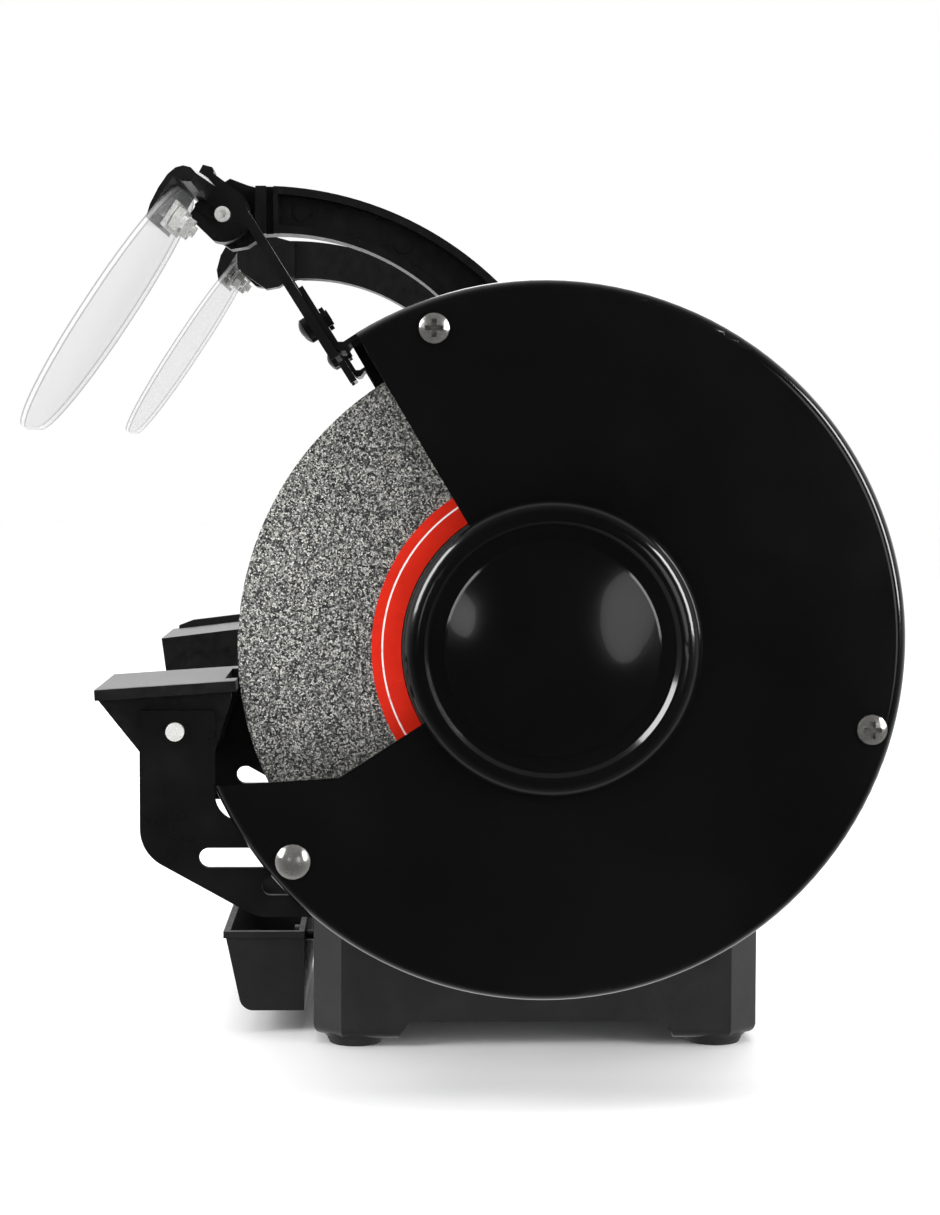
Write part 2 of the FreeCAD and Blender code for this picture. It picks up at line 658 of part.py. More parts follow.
def make_motor():
    """Shell, end bells, tie rods, stator and rotor core."""
    inner = "(motor_radius - motor_wall)"
    shell = new_body("motor_shell")
    turned(shell, [("-shell_half", inner), ("shell_half", inner),
                   ("shell_half", "motor_radius"), ("-shell_half", "motor_radius")])
    mounts = sketch(shell, "XY_Plane", lift="shaft_height - motor_radius - 1")
    for x in (-50, 50):
        circle(mounts, x, 0, 3.1)
    circle(mounts, 0, 20, 7)
    pocket(shell, mounts, "motor_wall + 6")
    screws = [joined([rod("z", x, 0, "base_top - base_wall - 4", 5.2, 3.9),
                      rod("z", x, 0, "base_top - base_wall - 0.2", 3.0, 21)]) for x in (-50, 50)]
    group("motor_mount_screws", screws)

    for name, side in SIDES:
        bell = new_body("end_bell_" + name)
        pocket_end = "bearing_x + bearing_width / 2 + 0.2"
        if side < 0:
            pocket_end += " + washer_gap"
        profile = [("shell_half + 0.3", "motor_radius"), (98, "motor_radius"),
                   (110, 60), (114, "bell_boss"), ("bell_face_x", "bell_boss"),
                   ("bell_face_x", "core_seat"), (pocket_end, "core_seat"),
                   (pocket_end, "bearing_radius + 0.05"),
                   ("bearing_x - bearing_width / 2 - 0.5", "bearing_radius + 0.05"),
                   ("bearing_x - bearing_width / 2 - 0.5", 29), (106, 36), (103, 57),
                   (94, f"{inner} - 0.2"), ("shell_half + 0.3", f"{inner} - 0.2")]
        turned(bell, [(f"{side} * ({x})", r) for x, r in profile])
        cut_plate(bell, side, "bell_face_x - 16", "bell_face_x + 1",
                  holes=[(y, z, 2.5) for y, z in guard_screw_spots()])
        cut_plate(bell, side, 90, 120, holes=[(y, z, "tie_radius + 0.2") for y, z in tie_spots()])
        cut_plate(bell, side, "shell_half + 19.8", 120, holes=[(y, z, 4.8) for y, z in tie_spots()])

    rods = []
    for y, z in tie_spots():
        length = rod("x", "-shell_half - 20", y, z, "tie_radius", "2 * shell_half + 40")
        head = rod("x", "shell_half + 19.9", y, z, 4.4, 3.2)
        nut = rod("x", "-shell_half - 23.1", y, z, 4.4, 3.2)
        rods.append(joined([length, head, nut]))
    group("motor_tie_rods", rods)

    stator = new_body("stator_core")
    turned(stator, [("-stack_half", "stator_bore"), ("stack_half", "stator_bore"),
                    ("stack_half", f"{inner} - 0.3"), ("-stack_half", f"{inner} - 0.3")])
    cut_plate(stator, 1, "-stack_half - 1", "stack_half + 1",
              holes=[(y, z, "tie_radius + 0.2") for y, z in tie_spots()])
    coils = []
    for side in (1, -1):
        coil = doc.addObject("Part::Torus", "coil")
        coil.Placement = FreeCAD.Placement(V(0, 0, 0), FreeCAD.Rotation(*AXES["x"]))
        for prop, text in (("Radius1", 49.5), ("Radius2", 8.5), ("Placement.Base.x", f"{side} * 45"),
                           ("Placement.Base.z", "shaft_height")):
            bind(coil, prop, text)
        coils.append(coil)
    group("stator_windings", coils)

    rotor = new_body("rotor_core")
    turned(rotor, [("-stack_half", "core_seat + 0.02"), ("stack_half", "core_seat + 0.02"),
                   ("stack_half", "rotor_radius - 3"), ("stack_half + 8", "rotor_radius - 3"),
                   ("stack_half + 8", "rotor_radius - 11"), ("stack_half + 12", "rotor_radius - 11"),
                   ("stack_half + 12", "rotor_radius - 1"), ("stack_half + 1", "rotor_radius - 1"),
                   ("stack_half", "rotor_radius"), ("-stack_half", "rotor_radius")])


def tie_spots():
    """(y, z) of the four rods that hold the motor together."""
    reach = "tie_circle * sqrt(0.5)"
    return [(f"{sy} * {reach}", f"shaft_height + {sz} * {reach}") for sy, sz in BASE_CORNERS]


def guard_screw_spots():
    """(y, z) of the three screws that hold a wheel guard to its end bell."""
    spots = []
    for angle in (90, 210, 330):
        turn = math.radians(angle)
        spots.append((f"guard_screw_circle * {math.cos(turn):.5f}",
                      f"shaft_height + guard_screw_circle * {math.sin(turn):.5f}"))
    return spots


def make_shaft_and_bearings():
    """Stepped shaft on two deep-groove ball bearings, one of them loaded by a wave washer."""
    shaft = new_body("shaft")
    half = [("shaft_end_x", 0), ("shaft_end_x", "arbor_radius - 1"),
            ("shaft_end_x - 1", "arbor_radius"), ("shoulder_x", "arbor_radius"),
            ("shoulder_x", "journal_radius"), (62, "journal_radius"), (62, "core_seat")]
    turned(shaft, half + [(f"-({x})", r) for x, r in reversed(half)])

    notch = "(ball_radius + ball_play)"
    half_width = "bearing_width / 2"
    inner_rings, outer_rings, balls = [], [], []
    for name, side in SIDES:
        bearing = f"({side} * bearing_x)"
        for rings, ring_name, bore, race, outside, bulge in (
                (inner_rings, "inner_ring", "journal_radius + 0.01", "race_inner", False,
                 "ball_pitch - race_inner"),
                (outer_rings, "outer_ring", "race_outer", "race_outer", True,
                 "race_outer - ball_pitch")):
            ring = doc.addObject("PartDesign::Body", ring_name)
            made = sketch(ring, "XZ_Plane", shift_y="shaft_height")
            gap = f"sqrt({notch} ^ 2 - ({bulge}) ^ 2)"
            if outside:
                corners = [(f"{bearing} - {half_width}", race), (f"{bearing} - {gap}", race, notch, -1),
                           (f"{bearing} + {gap}", race), (f"{bearing} + {half_width}", race),
                           (f"{bearing} + {half_width}", "bearing_radius"),
                           (f"{bearing} - {half_width}", "bearing_radius")]
            else:
                corners = [(f"{bearing} - {half_width}", bore), (f"{bearing} + {half_width}", bore),
                           (f"{bearing} + {half_width}", race), (f"{bearing} + {gap}", race, notch, -1),
                           (f"{bearing} - {gap}", race), (f"{bearing} - {half_width}", race)]
            outline(made, corners)
            revolve(ring, made)
            rings.append(ring)
        for number in range(8):
            turn = math.radians(number * FULL_TURN / 8)
            ball = doc.addObject("Part::Sphere", "ball")
            for prop, text in (("Radius", "ball_radius"), ("Placement.Base.x", bearing),
                               ("Placement.Base.y", f"ball_pitch * {math.cos(turn):.5f}"),
                               ("Placement.Base.z",
                                f"shaft_height + ball_pitch * {math.sin(turn):.5f}")):
                bind(ball, prop, text)
            balls.append(ball)
    group("bearing_inner_rings", inner_rings)
    group("bearing_outer_rings", outer_rings)
    group("bearing_balls", balls)

    washer = new_body("wave_washer")
    start = "bearing_x + bearing_width / 2 + 0.25"
    turned(washer, [(f"-({start})", 19.5), (f"-({start}) - 0.9", 19.5),
                    (f"-({start}) - 0.9", "bearing_radius - 0.2"),
                    (f"-({start})", "bearing_radius - 0.2")])


# ---------------------------------------------------------------- wheels

def make_wheels():
    """Grinding wheels with their paper labels, flanges and nuts."""
    flanges, nuts = [], []
    face_out = "(wheel_x + wheel_width / 2)"
    face_in = "(wheel_x - wheel_width / 2)"
    for name, side in SIDES:
        wheel = new_body("grinding_wheel_" + name)
        rim = "wheel_radius"
        profile = [(face_in, "arbor_radius + 0.1"), (face_out, "arbor_radius + 0.1"),
                   (face_out, f"{rim} - 1"), (f"{face_out} - 1", rim),
                   (f"{face_in} + 1", rim), (face_in, f"{rim} - 1")]
        turned(wheel, [(f"{side} * ({x})", r) for x, r in profile])
        labels = []
        for near, far in ((face_out, f"{face_out} + label_thick"),
                          (f"{face_in} - label_thick", face_in)):
            disc = rod_out(side, near, far, 0, "shaft_height", "label_radius")
            bore = rod_out(side, f"{near} - 1", f"{far} + 1", 0, "shaft_height", "arbor_radius + 0.2")
            labels.append(cut(disc, bore))
        group("wheel_labels_" + name, labels)
        for near, out in ((f"{face_out} + label_thick", 1), (f"{face_in} - label_thick", -1)):
            flange = doc.addObject("PartDesign::Body", "flange")
            profile = [(near, 17), (f"{near} + {out} * 1", 17),
                       (f"{near} + {out} * 1", "arbor_radius + 0.1"),
                       (f"{near} + {out} * flange_thick", "arbor_radius + 0.1"),
                       (f"{near} + {out} * flange_thick", "flange_radius - 3"),
                       (f"{near} + {out} * 1.2", "flange_radius"), (near, "flange_radius")]
            turned(flange, [(f"{side} * ({x})", r) for x, r in profile])
            flanges.append(flange)
        start = f"({face_out} + label_thick + flange_thick)"
        nut = hexagon_out(side, start, f"{start} + nut_thick", 0, "shaft_height", "nut_flats")
        bore = rod_out(side, f"{start} - 1", f"{start} + nut_thick + 1", 0, "shaft_height",
                       "arbor_radius + 0.05")
        nuts.append(cut(nut, bore))
    group("wheel_flanges", flanges)
    group("spindle_nuts", nuts)


# ---------------------------------------------------------------- wheel guards

# Where the wheel shows: the corners of the mouth, as (y, z). The inner guard reaches a little
# further over the wheel than its cover does.
MOUTH_TOP = (-77.3, 272.9)
MOUTH_TOP_HUB = (-27.3, 188.3)
MOUTH_LOW_HUB = (-41.5, 125.5)
MOUTH_KNEE = (-67.3, 108.8)
MOUTH_LOW = (-130.0, 104.6)
MOUTH_FRONT = (-150.0, 190.0)
INNER_MOUTH = [(-79.8, 271.4), (-29.8, 186.8), (-41.5, 108.0), (-92.0, 106.4)]
# The cover's screws, as (y, z, radius of the boss behind).
COVER_SCREWS = ((-37.9, 248.8, 6.3), (99.7, 124.0, 5.3))
# Heights where the guard's rim makes room for the two legs of a tool rest.
RIM_STOP_Z = 93.8
LEG_RELIEF_Z = 62.8
LEG_RELIEF_X = 171.6
INNER_BOLT_Y = -84.0
# How each tool rest stands: pulled out, set lower, and its table tilted, in mm, mm and degrees.
REST_STANCE = {"right": (0.0, 0.0, 0.0), "left": (7.1, 5.8, 3.1)}


def on_guard(radius, degrees):
    """Point of a circle about the guard's centre."""
    turn = math.radians(degrees)
    return (f"guard_y + ({radius}) * {math.cos(turn):.6f}",
            f"guard_z + ({radius}) * {math.sin(turn):.6f}")


def make_guards():
    """Covers with their domed middles, inner guards, and the screws that hold both."""
    screws, mount_screws = [], []
    for name, side in SIDES:
        drop = REST_STANCE[name][1]
        cover = new_body("guard_cover_" + name)
        inside = "(cover_x - sheet_thick)"
        lip = "(cover_x - cover_edge)"
        profile = [(inside, 0), ("cover_x", 0),
                   ("cover_x", "guard_radius - cover_edge", "cover_edge", side),
                   (lip, "guard_radius"), (f"{lip} - 0.3", "guard_radius"),
                   (f"{lip} - 0.3", "guard_radius - sheet_thick"),
                   (lip, "guard_radius - sheet_thick", "cover_edge - sheet_thick", -side),
                   (inside, "guard_radius - cover_edge")]
        turned(cover, [(f"{side} * ({c[0]})",) + c[1:] for c in profile], "guard_y", "guard_z")
        cut_plate(cover, side, "cover_x - 20", "cover_x + 1",
                  [MOUTH_TOP, MOUTH_TOP_HUB + ("dome_radius + 0.3", 1), MOUTH_LOW_HUB, MOUTH_KNEE,
                   MOUTH_LOW, MOUTH_FRONT])
        cut_plate(cover, side, "cover_x - 5", "cover_x + 1",
                  holes=[("dome_y", "dome_z", "dome_radius - 1.6")])
        crest = "(cover_x + shoulder_rise)"
        groove = f"({crest} - channel_drop)"
        wall = "sheet_thick"
        bend = "(dome_radius - channel_radius - 1)"
        cap_arc = "((cap_radius ^ 2 + cap_rise ^ 2) / (2 * cap_rise))"
        dome = [(inside, "dome_radius - 1.9"), (inside, "dome_radius + 0.2"),
                ("cover_x", "dome_radius + 0.2"),
                ("cover_x", "dome_radius", bend, -side), (crest, "channel_radius + 1"),
                (crest, "channel_radius"), (groove, "channel_radius - 1.4"),
                (groove, "cap_radius + 0.8"), (crest, "cap_radius", cap_arc, -side),
                (f"{crest} + cap_rise", 0), (f"{crest} + cap_rise - {wall}", 0, cap_arc, side),
                (f"{crest} - {wall}", "cap_radius"), (f"{groove} - {wall}", "cap_radius + 0.8"),
                (f"{groove} - {wall}", "channel_radius - 1.4"), (f"{crest} - {wall}", "channel_radius"),
                (f"{crest} - {wall}", "channel_radius + 0.2", bend, side)]
        turned(cover, [(f"{side} * ({c[0]})",) + c[1:] for c in dome], "dome_y", "dome_z")
        cut_plate(cover, side, "cover_x - 5", "cover_x + 1",
                  holes=[(y, z, 2.7) for y, z, tab in COVER_SCREWS]
                  + [("rest_bolt_y", f"outer_bolt_z - {drop}", "rest_bolt_radius + 0.2")])

        guard = new_body("inner_guard_" + name)
        back = "guard_back_x"
        profile = [(back, 24), (f"{back} + sheet_thick", 24),
                   (f"{back} + sheet_thick", "rim_radius - sheet_thick"),
                   ("rim_end_x", "rim_radius - sheet_thick"), ("rim_end_x", "rim_radius"),
                   (back, "rim_radius")]
        turned(guard, [(f"{side} * ({x})", r) for x, r in profile], "guard_y", "guard_z")
        cut_plate(guard, side, f"{back} - 1", "rim_end_x + 1",
                  INNER_MOUTH + [(-92.0, RIM_STOP_Z - drop), (-140.0, RIM_STOP_Z - drop), MOUTH_FRONT])
        cut_plate(guard, side, LEG_RELIEF_X, "rim_end_x + 1",
                  [(-140, RIM_STOP_Z + 1 - drop), (-140, LEG_RELIEF_Z - drop),
                   (-60, LEG_RELIEF_Z - drop), (-60, RIM_STOP_Z + 1 - drop)])
        for y, z, tab in COVER_SCREWS:
            plate_disc(guard, side, "rim_end_x - 12.5", "rim_end_x", y, z, tab)
        cut_plate(guard, side, f"{back} - 1", "rim_end_x + 1",
                  holes=[(y, z, 2.5) for y, z, tab in COVER_SCREWS])
        holes = [(y, z, 2.7) for y, z in guard_screw_spots()] + [(y, z, 2.7) for y, z in ARM_SCREWS]
        cut_plate(guard, side, f"{back} - 1", f"{back} + 3",
                  holes=holes + [(INNER_BOLT_Y, f"inner_bolt_z - {drop}", "rest_bolt_radius + 0.2")])
        for y, z, tab in COVER_SCREWS:
            screws.append(screw_out(side, "cover_x + 0.05", 12, y, z, 2.4, 4.7, 2.5))
        for y, z in guard_screw_spots():
            mount_screws.append(screw_out(side, f"{back} + sheet_thick + 0.05", 14, y, z,
                                          2.4, 4.6, 2.6))
    group("cover_screws", screws)
    group("guard_mount_screws", mount_screws)


def plate_disc(body, side, near, far, y, z, radius):
    """Pads a round boss between two distances from the middle plane."""
    made = sketch(body, "YZ_Plane", lift=span(side, near, far))
    circle(made, y, z, radius)
    return pad(body, made, f"({far}) - ({near})")


# ---------------------------------------------------------------- eye shields

ARM_SCREWS = ((-4.0, 246.0), (0.5, 234.0))
# Centres and radii of an arm's upper and lower edges, as (y, z, radius).
ARM_TOP = (-94.0, 185.2, 112.8)
ARM_LOW = (-88.4, 203.6, 78.8)
# The heel that holds the pivot, and the round marks in the arm's recess, as (y, z).
HEEL = [(-105.2, 301.1), (-112.2, 296.6), (-117.0, 292.6), (-116.8, 286.4), (-112.0, 282.4),
        (-104.9, 277.6), (-99.6, 278.6), (-93.0, 282.9), (-93.0, 297.2), (-99.6, 299.0)]
ARM_MARKS = ((-81.2, 289.8), (-47.5, 279.3))
# The hood over the lens's upper edge, as (distance up from the tip, distance off the face).
HOOD_ROOT = [(75.5, 1.4), (79.0, 4.6), (85.0, 6.6), (91.0, 6.9), (96.0, 5.8), (98.6, 3.4),
             (99.2, 0.0), (98.2, -4.0), (92.0, -4.0), (90.6, -1.6), (90.6, 1.4)]
HOOD_END = [(75.5, 1.4), (79.5, 2.6), (85.0, 3.2), (90.0, 3.1), (93.0, 2.2), (94.8, 0.6),
            (95.6, -1.6), (95.0, -4.0), (92.0, -4.0), (90.6, -1.6), (90.6, 1.4)]


def on_circle(centre, degrees, inset=0.0):
    """Point of an arm's edge, moved inwards from its circle by an inset."""
    y, z, radius = centre
    turn = math.radians(degrees)
    reach = radius + inset
    return (round(y + reach * math.cos(turn), 4), round(z + reach * math.sin(turn), 4))


def lens_point(along, off):
    """Point near the lens: distance up from its tip, and off its middle plane."""
    slope = math.radians(val("lens_slope"))
    return (val("lens_tip_y") + along * math.cos(slope) - off * math.sin(slope),
            val("lens_tip_z") + along * math.sin(slope) + off * math.cos(slope))


def around_pivot(radius, degrees):
    """Point of a circle about the pivot."""
    turn = math.radians(degrees)
    return (f"pivot_y + {radius * math.cos(turn):.5f}", f"pivot_z + {radius * math.sin(turn):.5f}")


def make_arm(name, side):
    """Moulded arm from the inner guard up to the pivot of the eye shield."""
    arm = new_body("shield_arm_" + name)
    plate(arm, side, "arm_in_x", "arm_out_x",
          [on_circle(ARM_TOP, 91.2), on_circle(ARM_LOW, 96.0) + (ARM_LOW[2], -1),
           on_circle(ARM_LOW, 20.0), (8.5, 226.0), on_circle(ARM_TOP, 24.0) + (ARM_TOP[2], 1)])
    cut_plate(arm, side, "arm_out_x - 4.5", "arm_out_x + 1",
              [on_circle(ARM_TOP, 87.3, -2.6) + (ARM_TOP[2] - 2.6, -1),
               on_circle(ARM_TOP, 36.0, -2.6), on_circle(ARM_LOW, 34.0, 2.6) + (ARM_LOW[2] + 2.6, 1),
               on_circle(ARM_LOW, 90.3, 2.6)])
    cut_plate(arm, side, "arm_out_x - 3", "arm_out_x + 1",
              [(-92.8, 302.0), (-92.8, 278.0), (-90.4, 278.0), (-90.4, 302.0)])
    for y, z in ARM_MARKS:
        plate_disc(arm, side, "arm_out_x - 4.7", "arm_out_x - 4.1", y, z, 2.9)
    plate(arm, side, "heel_in_x", "heel_out_x", HEEL)
    cut_plate(arm, side, "heel_in_x + 2.5", "heel_out_x + 1",
              holes=[("pivot_y", "pivot_z", "pivot_radius + 0.04")])
    cut_plate(arm, side, "arm_in_x - 1", "arm_out_x + 1", holes=[(y, z, 2.5) for y, z in ARM_SCREWS])


def make_holder(name, side, lay):
    """Moulded holder that turns on the pivot and hoods the upper edge of the lens."""
    cheek = doc.addObject("PartDesign::Body", "cheek")
    reach = val("cheek_radius")
    plate(cheek, side, "cheek_in_x", "cheek_out_x",
          [lens_point(98.4, 2.5), lens_point(90.6, 2.5), lens_point(90.6, -1.6),
           lens_point(85.4, -1.6), (-115.8, 285.2),
           around_pivot(reach, -110) + ("cheek_radius", 1), around_pivot(reach, 50),
           (-109.9, 301.6)])
    plate(cheek, side, "cheek_in_x", "cheek_out_x",
          [(-115.0, 300.0), (-110.4, 298.0), (-109.7, 302.5), (-110.2, 303.6), (-113.3, 304.4),
           (-115.0, 301.3)])
    for along in (88.6, 92.6):
        plate(cheek, side, "cheek_out_x - 1", "cheek_out_x + 0.9",
              [lens_point(along - 0.5, -3.4), lens_point(along - 0.5, -9.0),
               lens_point(along + 0.5, -9.0), lens_point(along + 0.5, -3.4)])
    cut_plate(cheek, side, "cheek_in_x - 1", "cheek_out_x + 2",
              holes=[("pivot_y", "pivot_z", "pivot_radius + 0.02")])
    sections = []
    for x, corners in (("cheek_in_x", HOOD_ROOT), ("hood_end_x", HOOD_END)):
        made = doc.addObject("Sketcher::SketchObject", "section")
        made.Placement = FreeCAD.Placement(V(0, 0, 0), FreeCAD.Rotation(V(1, 1, 1), 120))
        bind(made, "Placement.Base.x", f"{side} * {x}")
        outline(made, [lens_point(*corner) for corner in corners])
        sections.append(made)
    hood = doc.addObject("Part::Loft", "hood")
    hood.Sections = sections
    hood.Solid = True
    hood.Ruled = True
    doc.recompute()
    holes = joined([rod("z", x, "lens_screw_along", 0, 2.0, 5.2) for x in lens_screw_spots(side)])
    holes.Placement = lay
    node("shield_holder_" + name, cut(joined([cheek, hood]), holes))


def lens_screw_spots(side):
    """Where the lens's two screws stand along X."""
    return [f"{side} * wheel_x + ({k} * lens_screw_spread)" for k in (-1, 1)]


def make_lens(name, side, lay):
    """Clear lens, the strip that clamps it to the holder, and its two screws with nuts."""
    middle = f"{side} * wheel_x"
    lens = new_body("eye_lens_" + name)
    made = sketch(lens, "XY_Plane", shift_x=middle, lift="-lens_thick / 2")
    half, edge = "lens_width / 2", "lens_corner"
    outline(made, [(f"-{half} + {edge}", 0), (f"{half} - {edge}", 0, edge, 1),
                   (half, edge), (half, f"lens_length - {edge}", edge, 1),
                   (f"{half} - {edge}", "lens_length"),
                   (f"-{half} + {edge}", "lens_length", edge, 1),
                   (f"-{half}", f"lens_length - {edge}"), (f"-{half}", edge, edge, 1)])
    clamp = new_body("lens_clamp_" + name)
    strip = sketch(clamp, "XY_Plane", shift_x=middle, lift="-lens_thick / 2 - 1.5")
    rectangle(strip, -24.5, "lens_screw_along - 4.5", 24.5, "lens_screw_along + 4.5")
    for k in (-1, 1):
        circle(made, f"{k} * lens_screw_spread", "lens_screw_along", 2.2)
        circle(strip, f"{k} * lens_screw_spread", "lens_screw_along", 2.2)
    pad(lens, made, "lens_thick")
    pad(clamp, strip, 1.3)
    screws = []
    for x in lens_screw_spots(side):
        shank = rod("z", x, "lens_screw_along", -7.1, 1.95, 10.5)
        nut = doc.addObject("Part::Prism", "nut")
        nut.Polygon = 6
        for prop, text in (("Circumradius", 4.05), ("Height", 2.9), ("Placement.Base.x", x),
                           ("Placement.Base.y", "lens_screw_along"), ("Placement.Base.z", -5.7)):
            bind(nut, prop, text)
        screws.append(joined([shank, nut]))
    bolts = group("lens_screws_" + name, screws)
    doc.recompute()
    for thing in (lens, clamp, bolts):
        thing.Placement = lay


def make_shields():
    """Arms, holders, lenses and the pins that the holders turn on."""
    pins, arm_screws = [], []
    lay = sloped("lens_tip_y", "lens_tip_z", "lens_slope")
    for name, side in SIDES:
        make_arm(name, side)
        make_holder(name, side, lay)
        make_lens(name, side, lay)
        for y, z in ARM_SCREWS:
            arm_screws.append(screw_out(side, "guard_back_x + sheet_thick + 0.05", 15, y, z,
                                        2.4, 4.6, 2.6))
        pin = rod_out(side, "heel_in_x + 3", "cheek_out_x + 1.6", "pivot_y", "pivot_z",
                      "pivot_radius - 0.03")
        dimple = rod_out(side, "cheek_out_x + 0.9", "cheek_out_x + 2", "pivot_y", "pivot_z", 1.3)
        pins.append(cut(pin, dimple))
    group("shield_pivots", pins)
    group("arm_screws", arm_screws)


# ---------------------------------------------------------------- spark arrestors

SPARK_BOLTS_X = (144, 170)


def spark_point(along, off):
    """Point near a spark plate: distance down its slope from the bolts, and behind its face."""
    slope = math.radians(val("spark_slope"))
    return (val("spark_bolt_y") + along * math.cos(slope) + off * math.sin(slope),
            val("spark_bolt_z") - along * math.sin(slope) + off * math.cos(slope))


def make_spark_bracket(name, side, lay):
    """Angle on the guard's rim that carries a spark plate."""
    bracket = new_body("spark_bracket_" + name)
    foot = [on_guard("rim_radius + 0.25", 123.4) + ("rim_radius + 0.25", -1),
            on_guard("rim_radius + 0.25", 110)]
    back = [on_guard("rim_radius + 1.75", 110) + ("rim_radius + 1.75", 1),
            on_guard("rim_radius + 1.75", 123.4)]
    plate(bracket, side, 134, 180,
          [spark_point(-11.5, 1.6), spark_point(10.4, 1.6), spark_point(12.0, 2.6),
           spark_point(12.4, 3.9)] + foot + back
          + [spark_point(9.9, 4.9), spark_point(9.0, 3.4), spark_point(-11.5, 3.4)])
    made = free_sketch(bracket, lay.multiply(FreeCAD.Placement(V(0, 0, -6), FreeCAD.Rotation())))
    for x in SPARK_BOLTS_X:
        circle(made, side * x, 0, 2.15)
    pocket(bracket, made, 8)


def make_spark_plate(name, side, lay):
    """Sheet with a lip along both sides, slotted so that it can follow the wheel as it wears."""
    panel = new_body("spark_arrestor_" + name)
    top, low = 41.2, -12.8
    made = sketch(panel, "XY_Plane", lift="-spark_thick / 2")
    ends = sorted((side * val("spark_in_x"), side * val("spark_out_x")))
    rectangle(made, ends[0], low, ends[1], top)
    for x in SPARK_BOLTS_X:
        middle = side * x
        outline(made, [(middle - 2.3, -8.4, 2.3, 1), (middle, -10.7, 2.3, 1), (middle + 2.3, -8.4),
                       (middle + 2.3, 2.2, 2.3, 1), (middle, 4.5, 2.3, 1), (middle - 2.3, 2.2)])
    pad(panel, made, "spark_thick / 2")
    lips = sketch(panel, "XY_Plane", lift="-spark_thick / 2")
    for x in (ends[0], ends[1] - 1.5):
        rectangle(lips, x, low, x + 1.5, top)
    pad(panel, lips, "spark_thick")
    panel.Placement = lay


def make_sparks():
    """Spark plates over the wheels' tops, with their brackets and bolts."""
    bolts = []
    bend = dome_bend(3.5, 1.5)
    lay = sloped("spark_bolt_y", "spark_bolt_z", "180 - spark_slope")
    for name, side in SIDES:
        make_spark_bracket(name, side, lay)
        make_spark_plate(name, side, lay)
        for x in SPARK_BOLTS_X:
            shank = rod("z", side * x, 0, -5.6, 1.95, 6.6)
            washer = rod("z", side * x, 0, 0.1, 4.4, 0.9)
            knob = domed(rod("z", side * x, 0, 0.8, 3.5, 5), bend, side * x, 0, 5.0 - bend)
            nut = doc.addObject("Part::Prism", "nut")
            nut.Polygon = 6
            for prop, text in (("Circumradius", 3.7), ("Height", 1.5),
                               ("Placement.Base.x", side * x), ("Placement.Base.z", -5.0)):
                bind(nut, prop, text)
            bolts.append(joined([shank, washer, knob, nut]))
    made = group("spark_bolts", bolts)
    doc.recompute()
    made.Placement = lay


# ---------------------------------------------------------------- tool rests

TABLE_CHEEK = [(-142.4, 134.0), (-143.1, 132.4), (-130.2, 116.2), (-125.8, 112.0), (-110.4, 112.0),
               (-106.6, 116.0), (-101.3, 133.4), (-101.3, 136.4)]
TABLE_SKIRT = [(-143.3, 134.8), (-142.1, 119.2), (-103.5, 119.2), (-99.6, 137.8)]
TABLE_FENCE = [(-140.6, 135.5), (-140.4, 138.0), (-134.0, 140.1), (-101.0, 142.4), (-101.0, 138.0)]


def make_rest_bracket(name, side):
    """Two legs and a web, slotted for the bolts that hold the rest to the guard."""
    bracket = new_body("rest_bracket_" + name)
    front, top = "leg_front_y", "leg_top_z"
    pin_hole = [("rest_pin_y", "rest_pin_z", "rest_pin_radius + 0.02")]
    plate(bracket, side, "leg_inner_x", "leg_outer_x + leg_thick",
          [(front, 95.5), (f"{front} + leg_thick", 95.5), (f"{front} + leg_thick", 108),
           (front, 108)])
    plate(bracket, side, "leg_outer_x", "leg_outer_x + leg_thick",
          [(front, top), (front, 84.5), (-93.3, 64.2), (-61, 64.2), (-61, 94.6), (-106.4, 94.6),
           (-106.4, top)],
          holes=pin_hole,
          slots=[(-108.25, -69.0, "outer_bolt_z + 0.6", "slot_radius"), (-88.9, -69.0, 73.9, 2.8)])
    plate(bracket, side, "leg_inner_x", "leg_inner_x + leg_thick",
          [(front, top), (front, 95.0), (-62, 95.0), (-62, 112), (-90, 116), (-90, top)],
          holes=pin_hole, slots=[(-99.7, -69.5, "inner_bolt_z", 2.85)])
    round_along_x(bracket, front, 84.5, 13)
    round_along_x(bracket, -93.3, 64.2, 12)
    round_along_x(bracket, -106.4, 94.6, 8)
    return bracket


def make_table(name, side):
    """Table that tilts on the pin, with a slot round the wheel and a skirt towards the motor."""
    table = new_body("rest_table_" + name)
    plate(table, side, "table_in_x", "table_out_x",
          [(-143.2, "136.3 - table_thick"), (-99.3, "139.3 - table_thick"), (-99.5, 139.3),
           (-143.4, 136.3)])
    cut_plate(table, side, 138.5, 174.5, [(-103.5, 130), (-95, 130), (-95, 142), (-103.5, 142)])
    for near, far in (("leg_inner_x + leg_thick + 0.4", "leg_inner_x + 2 * leg_thick + 0.4"),
                      ("leg_outer_x - leg_thick - 0.4", "leg_outer_x - 0.4")):
        plate(table, side, near, far, TABLE_CHEEK,
              holes=[("rest_pin_y", "rest_pin_z", "rest_pin_radius + 0.02")])
    plate(table, side, "table_in_x", "table_in_x + skirt_thick", TABLE_SKIRT)
    if name == "left":
        plate(table, side, "table_out_x - 2.8", "table_out_x", TABLE_FENCE)
    doc.recompute()
    return table


